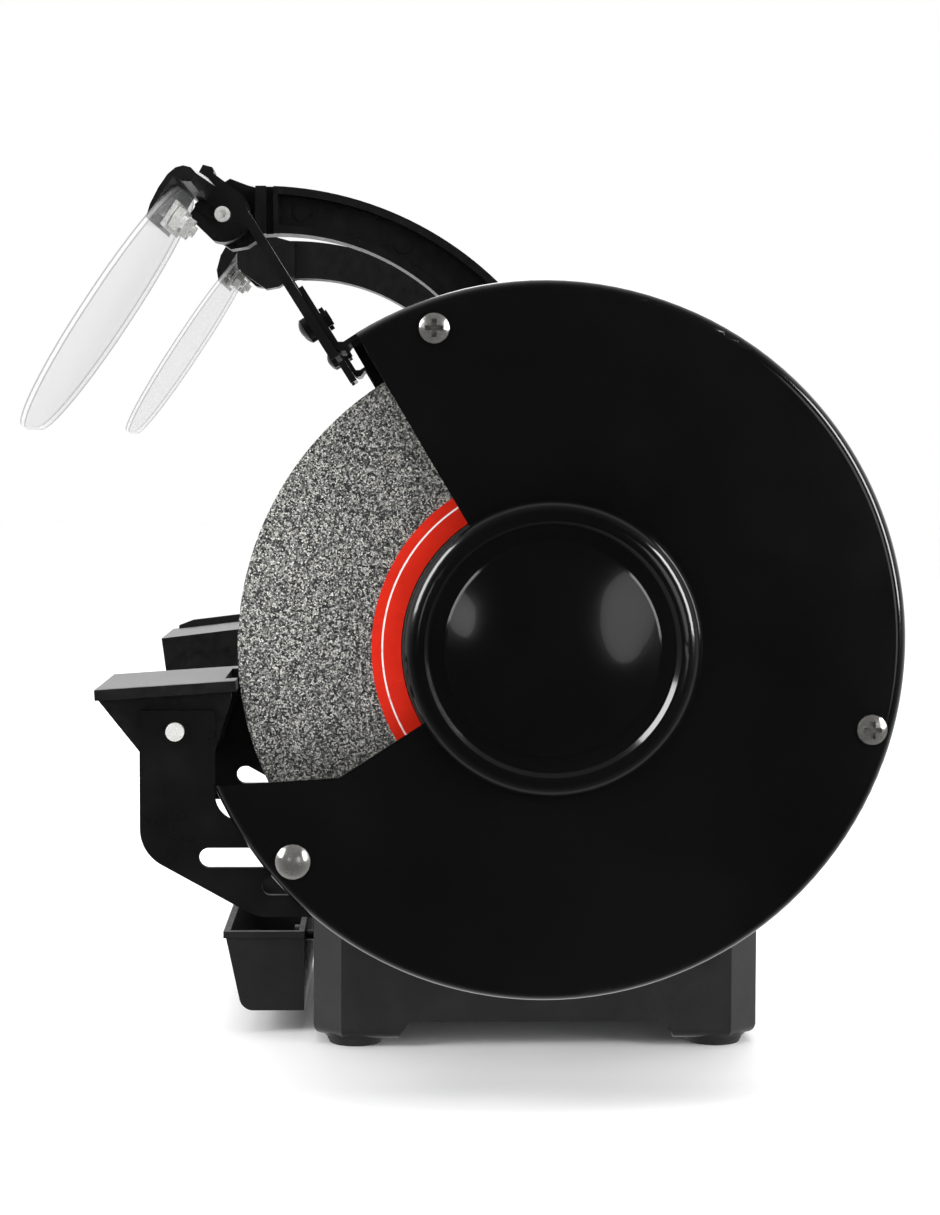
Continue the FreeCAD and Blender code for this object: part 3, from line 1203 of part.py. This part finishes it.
def make_rests():
    """Tool rests: bracket, tilting table and pin, set as REST_STANCE says, and their bolts."""
    bolts = []
    for name, side in SIDES:
        pull, drop, tilt = REST_STANCE[name]
        bracket = make_rest_bracket(name, side)
        table = make_table(name, side)
        pin = node("rest_pin_" + name, joined([
            rod_out(side, "table_in_x + skirt_thick + 0.2", "leg_outer_x + leg_thick + 1.8",
                    "rest_pin_y", "rest_pin_z", "rest_pin_radius - 0.03"),
            rod_out(side, "leg_outer_x + leg_thick + 0.1", "leg_outer_x + leg_thick + 1.8",
                    "rest_pin_y", "rest_pin_z", "rest_pin_radius + 0.12")]))
        doc.recompute()
        turn_about_x([table], tilt, "rest_pin_y", "rest_pin_z")
        stance = FreeCAD.Placement(V(0, -pull, -drop), FreeCAD.Rotation())
        for thing in (table, bracket, pin):
            thing.Placement = stance.multiply(thing.Placement)
        outer_z, inner_z = f"outer_bolt_z - {drop}", f"inner_bolt_z - {drop}"
        bolts.append(joined([
            rod_out(side, 172.0, "cover_x + 0.1", "rest_bolt_y", outer_z, "rest_bolt_radius"),
            domed_head(side, "cover_x + 0.05", "rest_bolt_y", outer_z, 5.5, 2.8, 2.4),
            hexagon_out(side, 173.2, 177.2, "rest_bolt_y", outer_z, 8)]))
        leg_face = "leg_inner_x + leg_thick + 0.05"
        bolts.append(joined([
            rod_out(side, "guard_back_x - 0.1", 137.4, INNER_BOLT_Y, inner_z, "rest_bolt_radius"),
            rod_out(side, "guard_back_x - 2.6", "guard_back_x - 0.05", INNER_BOLT_Y, inner_z, 5.5),
            rod_out(side, "guard_back_x + sheet_thick + 0.05", "leg_inner_x - 0.05", INNER_BOLT_Y,
                    inner_z, 6),
            hexagon_out(side, leg_face, f"{leg_face} + 4", INNER_BOLT_Y, inner_z, 8)]))
    group("rest_bolts", bolts)


# ---------------------------------------------------------------- build and write

make_base()
make_base_fittings()
make_tray()
make_switch()
make_motor()
make_shaft_and_bearings()
make_wheels()
make_guards()
make_shields()
make_sparks()
make_rests()
doc.recompute()

for thing in doc.Objects:
    if "Invalid" in thing.State or "Error" in thing.State:
        raise RuntimeError(f"{thing.Name} ({thing.Label}) failed: {thing.State}")
os.makedirs("parts", exist_ok=True)
for label, thing in nodes.items():
    shape = thing.Shape
    if shape.isNull() or not shape.isValid() or not shape.Solids:
        raise RuntimeError(label + " has no valid solid")
    shape.exportStep(f"parts/{label}.step")
print(len(nodes), "pieces written")
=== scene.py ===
"""Looks of the bench grinder: materials, fine visible detail, studio and camera.

Everything is in metres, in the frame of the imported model: +X along the shaft to the operator's
right, -Y towards the operator, +Z up, origin on the bench below the middle of the shaft.
"""
import json
import math

import bpy
from mathutils import Matrix, Vector


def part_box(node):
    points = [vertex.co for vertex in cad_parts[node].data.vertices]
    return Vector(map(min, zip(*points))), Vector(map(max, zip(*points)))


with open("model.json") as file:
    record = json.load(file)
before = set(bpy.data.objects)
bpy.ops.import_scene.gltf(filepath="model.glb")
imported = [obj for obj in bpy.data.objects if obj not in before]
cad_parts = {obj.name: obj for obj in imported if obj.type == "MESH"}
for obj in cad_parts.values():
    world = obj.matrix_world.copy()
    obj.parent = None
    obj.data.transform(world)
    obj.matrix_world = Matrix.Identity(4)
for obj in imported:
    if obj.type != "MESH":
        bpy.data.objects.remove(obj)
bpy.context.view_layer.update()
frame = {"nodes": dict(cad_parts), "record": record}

MM = 0.001
NODES = frame["nodes"]


# ---------------------------------------------------------------- places taken from the frame

def middle(node):
    """Middle of a node's box at rest."""
    low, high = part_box(node)
    return (low + high) / 2


SHAFT = middle("shaft")

# The thin ring printed on a wheel's label, the lens's slope in degrees, how far from the middle of
# the lens rim the painted shade lines along its edges begin, and the parts of a table's top that
# are ground.
RING_RADIUS = 0.0540
RING_HALF_WIDTH = 0.00028
LENS_SLOPE = 56.5
RIM_SHADE_FROM = 0.5 * MM
TABLE_SKIRT_DEPTH = 20 * MM
TABLE_GROUND_TO_X = 0.1828


# ---------------------------------------------------------------- material tools

class Paint:
    """A node material with short helpers for the usual procedural chains."""

    def __init__(self, name, **settings):
        self.material = bpy.data.materials.new(name)
        self.material.use_nodes = True
        self.tree = self.material.node_tree
        self.shader = self.tree.nodes["Principled BSDF"]
        self.place = self.node("ShaderNodeTexCoord").outputs["Object"]
        self.height = None
        for socket, value in settings.items():
            self.shader.inputs[socket.replace("_", " ")].default_value = value

    def node(self, kind, **properties):
        made = self.tree.nodes.new(kind)
        for name, value in properties.items():
            setattr(made, name, value)
        return made

    def link(self, source, target):
        self.tree.links.new(source, target)

    def noise(self, scale, detail=3.0, rough=0.55, place=None):
        made = self.node("ShaderNodeTexNoise")
        made.inputs["Scale"].default_value = scale
        made.inputs["Detail"].default_value = detail
        made.inputs["Roughness"].default_value = rough
        self.link(place or self.place, made.inputs["Vector"])
        return made.outputs["Fac"]

    def cells(self, scale, feature="F1", output="Distance", place=None):
        made = self.node("ShaderNodeTexVoronoi", feature=feature)
        made.inputs["Scale"].default_value = scale
        self.link(place or self.place, made.inputs["Vector"])
        return made.outputs[output]

    def math(self, operation, first, second=0.0, third=0.0):
        made = self.node("ShaderNodeMath", operation=operation)
        for index, value in enumerate((first, second, third)):
            if isinstance(value, (int, float)):
                made.inputs[index].default_value = value
            else:
                self.link(value, made.inputs[index])
        return made.outputs[0]

    def ramp(self, source, *stops):
        """Maps a value through (position, colour) stops."""
        made = self.node("ShaderNodeValToRGB")
        points = made.color_ramp.elements
        while len(points) < len(stops):
            points.new(0.5)
        for point, (position, colour) in zip(points, stops):
            point.position = position
            tone = colour if isinstance(colour, (tuple, list)) else (colour,) * 3
            point.color = (*tone[:3], 1)
        self.link(source, made.inputs["Fac"])
        return made.outputs["Color"]

    def remap(self, source, low, high, new_low, new_high):
        made = self.node("ShaderNodeMapRange")
        for name, value in (("From Min", low), ("From Max", high),
                            ("To Min", new_low), ("To Max", new_high)):
            made.inputs[name].default_value = value
        self.link(source, made.inputs["Value"])
        return made.outputs["Result"]

    def mix(self, share, first, second, blend="MIX"):
        made = self.node("ShaderNodeMix", data_type="RGBA", blend_type=blend)
        for name, value in (("Factor", share), ("A", first), ("B", second)):
            socket = [s for s in made.inputs if s.name == name and s.enabled][0]
            if isinstance(value, (int, float)):
                socket.default_value = value
            elif isinstance(value, tuple):
                socket.default_value = (*value[:3], 1)
            else:
                self.link(value, socket)
        return [s for s in made.outputs if s.enabled][0]

    def stretched(self, x, y, z):
        made = self.node("ShaderNodeMapping")
        made.inputs["Scale"].default_value = (x, y, z)
        self.link(self.place, made.inputs["Vector"])
        return made.outputs["Vector"]

    def dot(self, source, direction):
        made = self.node("ShaderNodeVectorMath", operation="DOT_PRODUCT")
        self.link(source, made.inputs[0])
        made.inputs[1].default_value = direction
        return made.outputs["Value"]

    def color(self, source):
        self.link(source, self.shader.inputs["Base Color"])

    def rough(self, source):
        self.link(source, self.shader.inputs["Roughness"])

    def bump(self, source, distance, strength=1.0):
        """Adds a bump of this height in metres; more calls stack."""
        made = self.node("ShaderNodeBump")
        made.inputs["Distance"].default_value = distance
        made.inputs["Strength"].default_value = strength
        self.link(source, made.inputs["Height"])
        if self.height is not None:
            self.link(self.height, made.inputs["Normal"])
        self.height = made.outputs["Normal"]
        self.link(self.height, self.shader.inputs["Normal"])

    def from_axis(self):
        """Distance from the shaft's axis."""
        parts = self.node("ShaderNodeSeparateXYZ")
        self.link(self.place, parts.inputs[0])
        up = self.math("SUBTRACT", parts.outputs["Z"], SHAFT.z)
        square = self.math("ADD", self.math("MULTIPLY", parts.outputs["Y"], parts.outputs["Y"]),
                           self.math("MULTIPLY", up, up))
        return self.math("SQRT", square)


# ---------------------------------------------------------------- materials

def gloss_black():
    """Deep gloss of the wheel guards, with a little dust and smudging."""
    paint = Paint("gloss_black", IOR=1.5, Coat_Weight=0.35, Coat_Roughness=0.03)
    dust = paint.ramp(paint.cells(420), (0.0, 1.0), (0.045, 0.0))
    patchy = paint.ramp(paint.noise(16), (0.5, 0.0), (0.72, 1.0))
    speck = paint.math("MULTIPLY", dust, patchy)
    smudge = paint.remap(paint.noise(9, 5), 0.35, 0.75, 0.0014, 0.0034)
    paint.color(paint.mix(paint.math("MULTIPLY", speck, 0.4), smudge, (0.10, 0.10, 0.105)))
    paint.rough(paint.remap(paint.noise(22, 6), 0.3, 0.7, 0.10, 0.20))
    paint.bump(paint.noise(230, 2), 0.00003, 0.35)
    return paint.material


def satin_black(name, tone, rough, grain):
    """Thin satin paint over steel."""
    paint = Paint(name, IOR=1.48)
    worn = paint.noise(70, 5, 0.65)
    paint.color(paint.ramp(worn, (0.3, tone * 0.8), (0.55, tone), (0.8, tone * 1.5)))
    paint.rough(paint.remap(worn, 0.3, 0.75, rough - 0.05, rough + 0.08))
    paint.bump(paint.noise(grain, 3), 0.00006, 0.5)
    return paint.material


def powder_base():
    """Slightly pebbled paint of the cast base."""
    paint = Paint("powder_base", IOR=1.47)
    broad = paint.noise(28, 5, 0.6)
    paint.color(paint.ramp(broad, (0.25, (0.015, 0.015, 0.0155)), (0.55, (0.021, 0.021, 0.0215)),
                           (0.85, (0.030, 0.030, 0.031))))
    paint.rough(paint.remap(paint.noise(150, 4), 0.3, 0.7, 0.32, 0.48))
    paint.bump(paint.noise(620, 4, 0.65), 0.00012, 0.55)
    paint.bump(paint.noise(60, 3), 0.0003, 0.25)
    return paint.material


def moulded(name, tone, rough):
    """Moulded plastic with a fine cellular grain."""
    paint = Paint(name, IOR=1.46)
    cloud = paint.noise(38, 4)
    paint.color(paint.ramp(cloud, (0.3, tone * 0.8), (0.6, tone), (0.85, tone * 1.5)))
    paint.rough(paint.remap(paint.noise(260, 3), 0.3, 0.7, rough - 0.06, rough + 0.08))
    paint.bump(paint.cells(1500), 0.00005, 0.45)
    paint.bump(paint.noise(500, 3), 0.00005, 0.4)
    return paint.material


def grit():
    """Bonded abrasive: light and dark grains, with painted shade darkening the recessed gaps
    between them.
    """
    paint = Paint("vitrified_grit", IOR=1.5)
    warp = paint.node("ShaderNodeTexNoise")
    warp.inputs["Scale"].default_value = 1300
    paint.link(paint.place, warp.inputs["Vector"])
    bend = paint.node("ShaderNodeVectorMath", operation="MULTIPLY_ADD")
    paint.link(warp.outputs["Color"], bend.inputs[0])
    bend.inputs[1].default_value = (0.0004,) * 3
    paint.link(paint.place, bend.inputs[2])
    place = bend.outputs["Vector"]
    coarse = paint.cells(1750, output="Color", place=place)
    fine = paint.cells(3100, output="Color", place=place)
    split_coarse = paint.node("ShaderNodeSeparateColor")
    paint.link(coarse, split_coarse.inputs[0])
    split_fine = paint.node("ShaderNodeSeparateColor")
    paint.link(fine, split_fine.inputs[0])
    salt = paint.math("ADD", paint.math("MULTIPLY", split_coarse.outputs[0], 0.66),
                      paint.math("MULTIPLY", split_fine.outputs[0], 0.34))
    tone = paint.ramp(salt, (0.20, (0.008, 0.008, 0.009)), (0.38, (0.045, 0.046, 0.048)),
                      (0.52, (0.135, 0.138, 0.135)), (0.68, (0.31, 0.31, 0.295)),
                      (0.86, (0.62, 0.62, 0.58)))
    warm = paint.mix(paint.math("MULTIPLY", split_coarse.outputs[1], 0.30), tone,
                     (0.30, 0.27, 0.20), "OVERLAY")
    # Painted shade: colour darkened towards each grain's edge, where the gaps between grains are
    # sunk by the bump.
    gap_shade = paint.ramp(paint.cells(1750, "DISTANCE_TO_EDGE", place=place), (0.0, 0.35), (0.12, 1.0))
    paint.color(paint.mix(1.0, warm, gap_shade, "MULTIPLY"))
    paint.rough(paint.remap(split_fine.outputs[1], 0.0, 1.0, 0.45, 0.95))
    height = paint.math("ADD", paint.math("MULTIPLY", salt, 0.6),
                        paint.math("MULTIPLY", paint.cells(1750, place=place), -0.5))
    paint.bump(height, 0.0003, 0.7)
    return paint.material


def red_label():
    """Printed paper label with one thin pale ring."""
    paint = Paint("red_label", IOR=1.45, Specular_IOR_Level=0.15)
    radius = paint.from_axis()
    off_ring = paint.math("ABSOLUTE", paint.math("SUBTRACT", radius, RING_RADIUS))
    ring = paint.math("LESS_THAN", off_ring, RING_HALF_WIDTH)
    ink = paint.ramp(paint.noise(55, 6, 0.65), (0.3, (0.54, 0.012, 0.002)),
                     (0.6, (0.64, 0.016, 0.003)), (0.85, (0.70, 0.024, 0.005)))
    scuffs = paint.noise(140, 6, 0.7, paint.stretched(1, 1, 3.5))
    scuff = paint.ramp(scuffs, (0.68, 0.0), (0.76, 0.55))
    inked = paint.mix(scuff, ink, (0.80, 0.20, 0.12))
    wear = paint.ramp(paint.noise(260, 3), (0.32, 0.35), (0.45, 1.0))
    worn_ring = paint.math("MULTIPLY", ring, wear)
    paint.color(paint.mix(worn_ring, inked, (0.86, 0.80, 0.76)))
    paint.rough(paint.remap(paint.noise(300, 4), 0.3, 0.7, 0.42, 0.62))
    paint.bump(paint.noise(1200, 4), 0.00005, 0.5)
    return paint.material


def metal(name, tone, rough, scratch=(1.0, 1.0, 1.0), spread=0.10, spots=0.0, pure=1.0):
    """Bare or plated metal. Scratch stretches its grain, and spots darken it in patches."""
    paint = Paint(name, Metallic=pure)
    grain = paint.noise(420, 5, 0.6, paint.stretched(*scratch))
    cloud = paint.noise(60, 4)
    light = tuple(min(1.0, c * 1.12) for c in tone)
    dark = tuple(c * 0.78 for c in tone)
    shade = paint.ramp(cloud, (0.3, dark), (0.6, tone), (0.85, light))
    if spots:
        stain = paint.ramp(paint.noise(190, 6, 0.7), (0.60, 0.0), (0.74, spots))
        shade = paint.mix(stain, shade, tuple(c * 0.35 for c in tone))
    paint.color(shade)
    paint.rough(paint.remap(grain, 0.3, 0.7, rough - spread, rough + spread))
    paint.bump(grain, 0.00003, 0.5)
    return paint.material


def table_steel(node):
    """Ground top of a tool rest; its sides, skirt and cheeks keep their black paint."""
    paint = Paint("ground_" + node)
    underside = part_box(node)[0].z + TABLE_SKIRT_DEPTH
    faces = paint.node("ShaderNodeTexCoord")
    parts = paint.node("ShaderNodeSeparateXYZ")
    paint.link(faces.outputs["Normal"], parts.inputs[0])
    top = paint.math("GREATER_THAN", parts.outputs["Z"], 0.92)
    place = paint.node("ShaderNodeSeparateXYZ")
    paint.link(paint.place, place.inputs[0])
    high = paint.math("GREATER_THAN", place.outputs["Z"], underside)
    within = paint.math("LESS_THAN", paint.math("ABSOLUTE", place.outputs["X"]),
                        TABLE_GROUND_TO_X)
    ground = paint.math("MULTIPLY", paint.math("MULTIPLY", top, high), within)
    brushed = paint.noise(520, 5, 0.6, paint.stretched(0.05, 1.0, 1.0))
    steel = paint.ramp(brushed, (0.3, (0.13, 0.13, 0.135)), (0.7, (0.22, 0.22, 0.225)))
    black = paint.ramp(paint.noise(300, 5, 0.7), (0.35, 0.003), (0.6, 0.006), (0.8, 0.018))
    paint.color(paint.mix(ground, black, steel))
    paint.link(paint.math("MULTIPLY", ground, 0.35), paint.shader.inputs["Metallic"])
    shine = paint.mix(ground, paint.remap(paint.noise(200, 3), 0.3, 0.7, 0.32, 0.5),
                      paint.remap(brushed, 0.3, 0.7, 0.42, 0.60))
    paint.rough(shine)
    paint.bump(brushed, 0.00003, 0.5)
    paint.bump(paint.noise(700, 4, 0.65), 0.0001, 0.4)
    return paint.material


def clear_lens():
    """Hazy, partly transparent sheet, with a dark line of painted shade along both edges of its
    rim.
    """
    paint = Paint("clear_lens", IOR=1.15)
    slope = math.radians(LENS_SLOPE)
    across = (0.0, -math.sin(slope), math.cos(slope))
    faces = paint.node("ShaderNodeTexCoord")
    facing = paint.dot(faces.outputs["Normal"], across)
    rim = paint.math("LESS_THAN", paint.math("ABSOLUTE", facing), 0.6)
    centre = middle("eye_lens_right").dot(Vector(across))
    depth = paint.math("ABSOLUTE", paint.math("SUBTRACT", paint.dot(paint.place, across), centre))
    # Painted shade: dark lines along both edges of the lens rim, standing in for the darkening at
    # a clear sheet's edge.
    edge_shade = paint.math("MULTIPLY", rim, paint.math("GREATER_THAN", depth, RIM_SHADE_FROM))
    haze = paint.noise(34, 6, 0.65, paint.stretched(1.0, 1.0, 0.5))
    sheet = paint.ramp(haze, (0.3, (0.34, 0.343, 0.35)), (0.7, (0.42, 0.423, 0.43)))
    body = paint.mix(rim, sheet, (0.66, 0.66, 0.67))
    paint.color(paint.mix(edge_shade, body, (0.16, 0.16, 0.165)))
    veil = paint.remap(haze, 0.3, 0.7, 0.25, 0.30)
    shown = paint.math("MAXIMUM", veil, paint.math("MULTIPLY", edge_shade, 0.55))
    paint.link(shown, paint.shader.inputs["Alpha"])
    paint.rough(paint.remap(haze, 0.35, 0.75, 0.02, 0.06))
    return paint.material


def copper():
    """Enamelled winding wire."""
    paint = Paint("enamelled_copper", Metallic=0.85)
    wound = paint.noise(240, 3, 0.5, paint.stretched(1.0, 0.25, 0.25))
    paint.color(paint.ramp(wound, (0.3, (0.28, 0.07, 0.02)), (0.7, (0.62, 0.25, 0.10))))
    paint.rough(paint.remap(wound, 0.3, 0.7, 0.25, 0.5))
    paint.bump(wound, 0.0004, 0.7)
    return paint.material


def laminations():
    """Stacked motor steel."""
    paint = Paint("laminations", Metallic=1.0)
    sheets = paint.noise(900, 2, 0.5, paint.stretched(1.0, 0.02, 0.02))
    paint.color(paint.ramp(sheets, (0.3, (0.16, 0.16, 0.17)), (0.7, (0.34, 0.34, 0.35))))
    paint.rough(paint.remap(sheets, 0.3, 0.7, 0.35, 0.6))
    paint.bump(sheets, 0.0001, 0.7)
    return paint.material


def rubber():
    """Worn rubber of the feet."""
    paint = Paint("rubber_feet", IOR=1.5)
    worn = paint.noise(180, 5)
    paint.color(paint.ramp(worn, (0.3, 0.010), (0.8, 0.028)))
    paint.rough(paint.remap(worn, 0.3, 0.7, 0.6, 0.85))
    paint.bump(paint.noise(900, 4), 0.0001, 0.6)
    return paint.material


def red_rocker():
    """Moulded red switch rocker."""
    paint = Paint("red_rocker", IOR=1.5)
    tone = paint.noise(90, 4)
    paint.color(paint.ramp(tone, (0.3, (0.36, 0.010, 0.006)), (0.8, (0.52, 0.018, 0.010))))
    paint.rough(paint.remap(tone, 0.3, 0.7, 0.22, 0.36))
    paint.bump(paint.noise(600, 3), 0.00004, 0.4)
    return paint.material


MATERIALS = {
    "black_paint": gloss_black(),
    "base_paint": powder_base(),
    "black_steel": satin_black("satin_black_steel", 0.0035, 0.30, 700),
    "black_plastic": moulded("moulded_black", 0.005, 0.32),
    "tray_plastic": moulded("tray_grey", 0.019, 0.38),
    "wheel_grit": grit(),
    "label_red": red_label(),
    "zinc": metal("zinc_plate", (0.44, 0.43, 0.41), 0.22, spots=0.5, pure=0.86),
    "ground_steel": metal("ground_steel", (0.52, 0.52, 0.53), 0.30, (0.06, 1.0, 1.0)),
    "bearing_steel": metal("bearing_steel", (0.70, 0.70, 0.71), 0.14, spread=0.05),
    "lens_clear": clear_lens(),
    "rubber": rubber(),
    "lamination": laminations(),
    "copper": copper(),
    "motor_paint": satin_black("motor_paint", 0.009, 0.34, 480),
}
SIDES = ("right", "left")
OVERRIDES = {f"rest_table_{side}": table_steel(f"rest_table_{side}") for side in SIDES}
OVERRIDES["switch_rocker"] = red_rocker()
# Painted light: a paler, less metallic copy of the zinc, so the shield pivots, lens clamps, lens
# screws and rest pins read brighter than the lighting makes plain zinc.
LIT_ZINC = metal("lit_zinc", (0.78, 0.78, 0.76), 0.28, spots=0.3, pure=0.45)
OVERRIDES["shield_pivots"] = LIT_ZINC
for side in SIDES:
    for bright in ("lens_clamp", "lens_screws", "rest_pin"):
        OVERRIDES[f"{bright}_{side}"] = LIT_ZINC


# ---------------------------------------------------------------- dressing the CAD nodes

ROUND_ANGLE = math.radians(32)
SOFT_EDGES = {"base_casting": 0.0009, "water_tray": 0.0005, "switch_housing": 0.0004,
              "switch_rocker": 0.0005}
for side in SIDES:
    for piece, width in (("shield_arm", 0.0008), ("shield_holder", 0.0006), ("rest_table", 0.0004),
                         ("rest_bracket", 0.0003), ("spark_arrestor", 0.0006),
                         ("eye_lens", 0.0003)):
        SOFT_EDGES[f"{piece}_{side}"] = width


def soften(thing, width):
    """Small worn edge, so that the corners of a piece catch the light."""
    bevel = thing.modifiers.new("edge", "BEVEL")
    bevel.width = width
    bevel.segments = 2
    bevel.limit_method = "ANGLE"
    bevel.angle_limit = ROUND_ANGLE
    bevel.harden_normals = False


def dress_nodes():
    """Gives every node its finish, and a soft edge where it has one."""
    slots = {part["node"]: part["material_slot"] for part in frame["record"]["subparts"]}
    for name, thing in NODES.items():
        material = OVERRIDES.get(name, MATERIALS[slots[name]])
        if not thing.material_slots:
            thing.data.materials.append(material)
        for place in thing.material_slots:
            place.material = material
        if name in SOFT_EDGES:
            soften(thing, SOFT_EDGES[name])


dress_nodes()


# ---------------------------------------------------------------- studio

FLOOR_REACH = 6.0


def stage_material():
    """Pale floor."""
    paint = Paint("pale_floor")
    tone = paint.noise(3, 4)
    paint.color(paint.ramp(tone, (0.3, 0.93), (0.7, 0.96)))
    paint.rough(paint.remap(tone, 0.3, 0.7, 0.6, 0.75))
    return paint.material


def make_floor():
    """Floor that mirror reflections do not see."""
    mesh = bpy.data.meshes.new("floor")
    reach = FLOOR_REACH
    mesh.from_pydata([(-reach, -reach, 0), (reach, -reach, 0), (reach, reach, 0),
                      (-reach, reach, 0)], [], [(0, 1, 2, 3)])
    floor = bpy.data.objects.new("floor", mesh)
    bpy.context.scene.collection.objects.link(floor)
    mesh.materials.append(stage_material())
    floor.visible_glossy = False


def area_light(name, place, target, size, power, tall=None, shape="RECTANGLE"):
    """Area light at a place, turned to face a target."""
    data = bpy.data.lights.new(name, "AREA")
    data.shape = shape
    data.size = size
    data.size_y = tall or size
    data.energy = power
    light = bpy.data.objects.new(name, data)
    bpy.context.scene.collection.objects.link(light)
    aim = Vector(target) - Vector(place)
    light.location = place
    light.rotation_euler = aim.to_track_quat("-Z", "Y").to_euler()
    return light


def make_lights():
    """Soft lights, and two small cards that show in the domed covers."""
    centre = (0.10, -0.02, 0.16)
    area_light("soft_left", (0.70, -1.30, 0.85), centre, 0.45, 15, 0.9)
    area_light("soft_right", (0.85, 1.20, 0.60), centre, 0.35, 13, 0.9)
    top = area_light("soft_top", (0.05, 0.0, 1.6), centre, 1.4, 14)
    top.visible_glossy = False
    area_light("soft_back", (-1.2, 0.2, 1.1), centre, 1.0, 8)
    dome = (0.19, 0.0, 0.15)
    area_light("card_left", (1.35, -0.53, 0.285), dome, 0.14, 0.20, 0.29, "ELLIPSE")
    area_light("card_right", (1.35, 0.555, 0.26), dome, 0.35, 0.65, 0.60, "ELLIPSE")


def make_world():
    """White surroundings, but for mirror reflections dark ones towards +X."""
    world = bpy.data.worlds.new("studio")
    bpy.context.scene.world = world
    world.use_nodes = True
    nodes, links = world.node_tree.nodes, world.node_tree.links
    nodes.clear()
    path = nodes.new("ShaderNodeLightPath")
    place = nodes.new("ShaderNodeTexCoord")
    parts = nodes.new("ShaderNodeSeparateXYZ")
    links.new(place.outputs["Generated"], parts.inputs[0])
    dimmed = nodes.new("ShaderNodeValToRGB")
    points = dimmed.color_ramp.elements
    points.new(0.66)
    for point, (position, tone) in zip(points, ((0.25, 1.0), (0.66, 0.13), (0.88, 0.012))):
        point.position = position
        point.color = (tone, tone, tone, 1)
    share = nodes.new("ShaderNodeMapRange")
    share.inputs["From Min"].default_value = -1.0
    links.new(parts.outputs["X"], share.inputs["Value"])
    links.new(share.outputs["Result"], dimmed.inputs["Fac"])
    lit = nodes.new("ShaderNodeMix")
    lit.inputs["A"].default_value = 1.0
    lit.inputs["B"].default_value = 1.12
    links.new(path.outputs["Is Diffuse Ray"], lit.inputs["Factor"])
    strength = nodes.new("ShaderNodeMix")
    links.new(path.outputs["Is Glossy Ray"], strength.inputs["Factor"])
    links.new(lit.outputs["Result"], strength.inputs["A"])
    links.new(dimmed.outputs["Color"], strength.inputs["B"])
    around = nodes.new("ShaderNodeBackground")
    around.inputs["Color"].default_value = (1.0, 1.0, 1.0, 1)
    links.new(strength.outputs["Result"], around.inputs["Strength"])
    out = nodes.new("ShaderNodeOutputWorld")
    links.new(around.outputs[0], out.inputs["Surface"])


CAMERA_PLACE = Vector((0.99849, -0.04765, 0.21305))
CAMERA_RIGHT = Vector((0.02574845, 0.99966412, 0.00294343))
CAMERA_UP = Vector((-0.06240427, -0.00133132, 0.99805007))
CAMERA_LENS = 77.54


def make_camera():
    """Camera off the right-hand end, a little above the shaft."""
    data = bpy.data.cameras.new("camera")
    data.sensor_width = 36.0
    data.sensor_fit = "AUTO"
    data.lens = CAMERA_LENS
    data.clip_start = 0.05
    camera = bpy.data.objects.new("camera", data)
    axes = Matrix((CAMERA_RIGHT, CAMERA_UP, CAMERA_RIGHT.cross(CAMERA_UP))).transposed()
    camera.location = CAMERA_PLACE
    camera.rotation_euler = axes.to_euler()
    bpy.context.scene.collection.objects.link(camera)
    bpy.context.scene.camera = camera


make_floor()
make_lights()
make_world()
make_camera()
bpy.context.scene.view_settings.view_transform = "Standard"
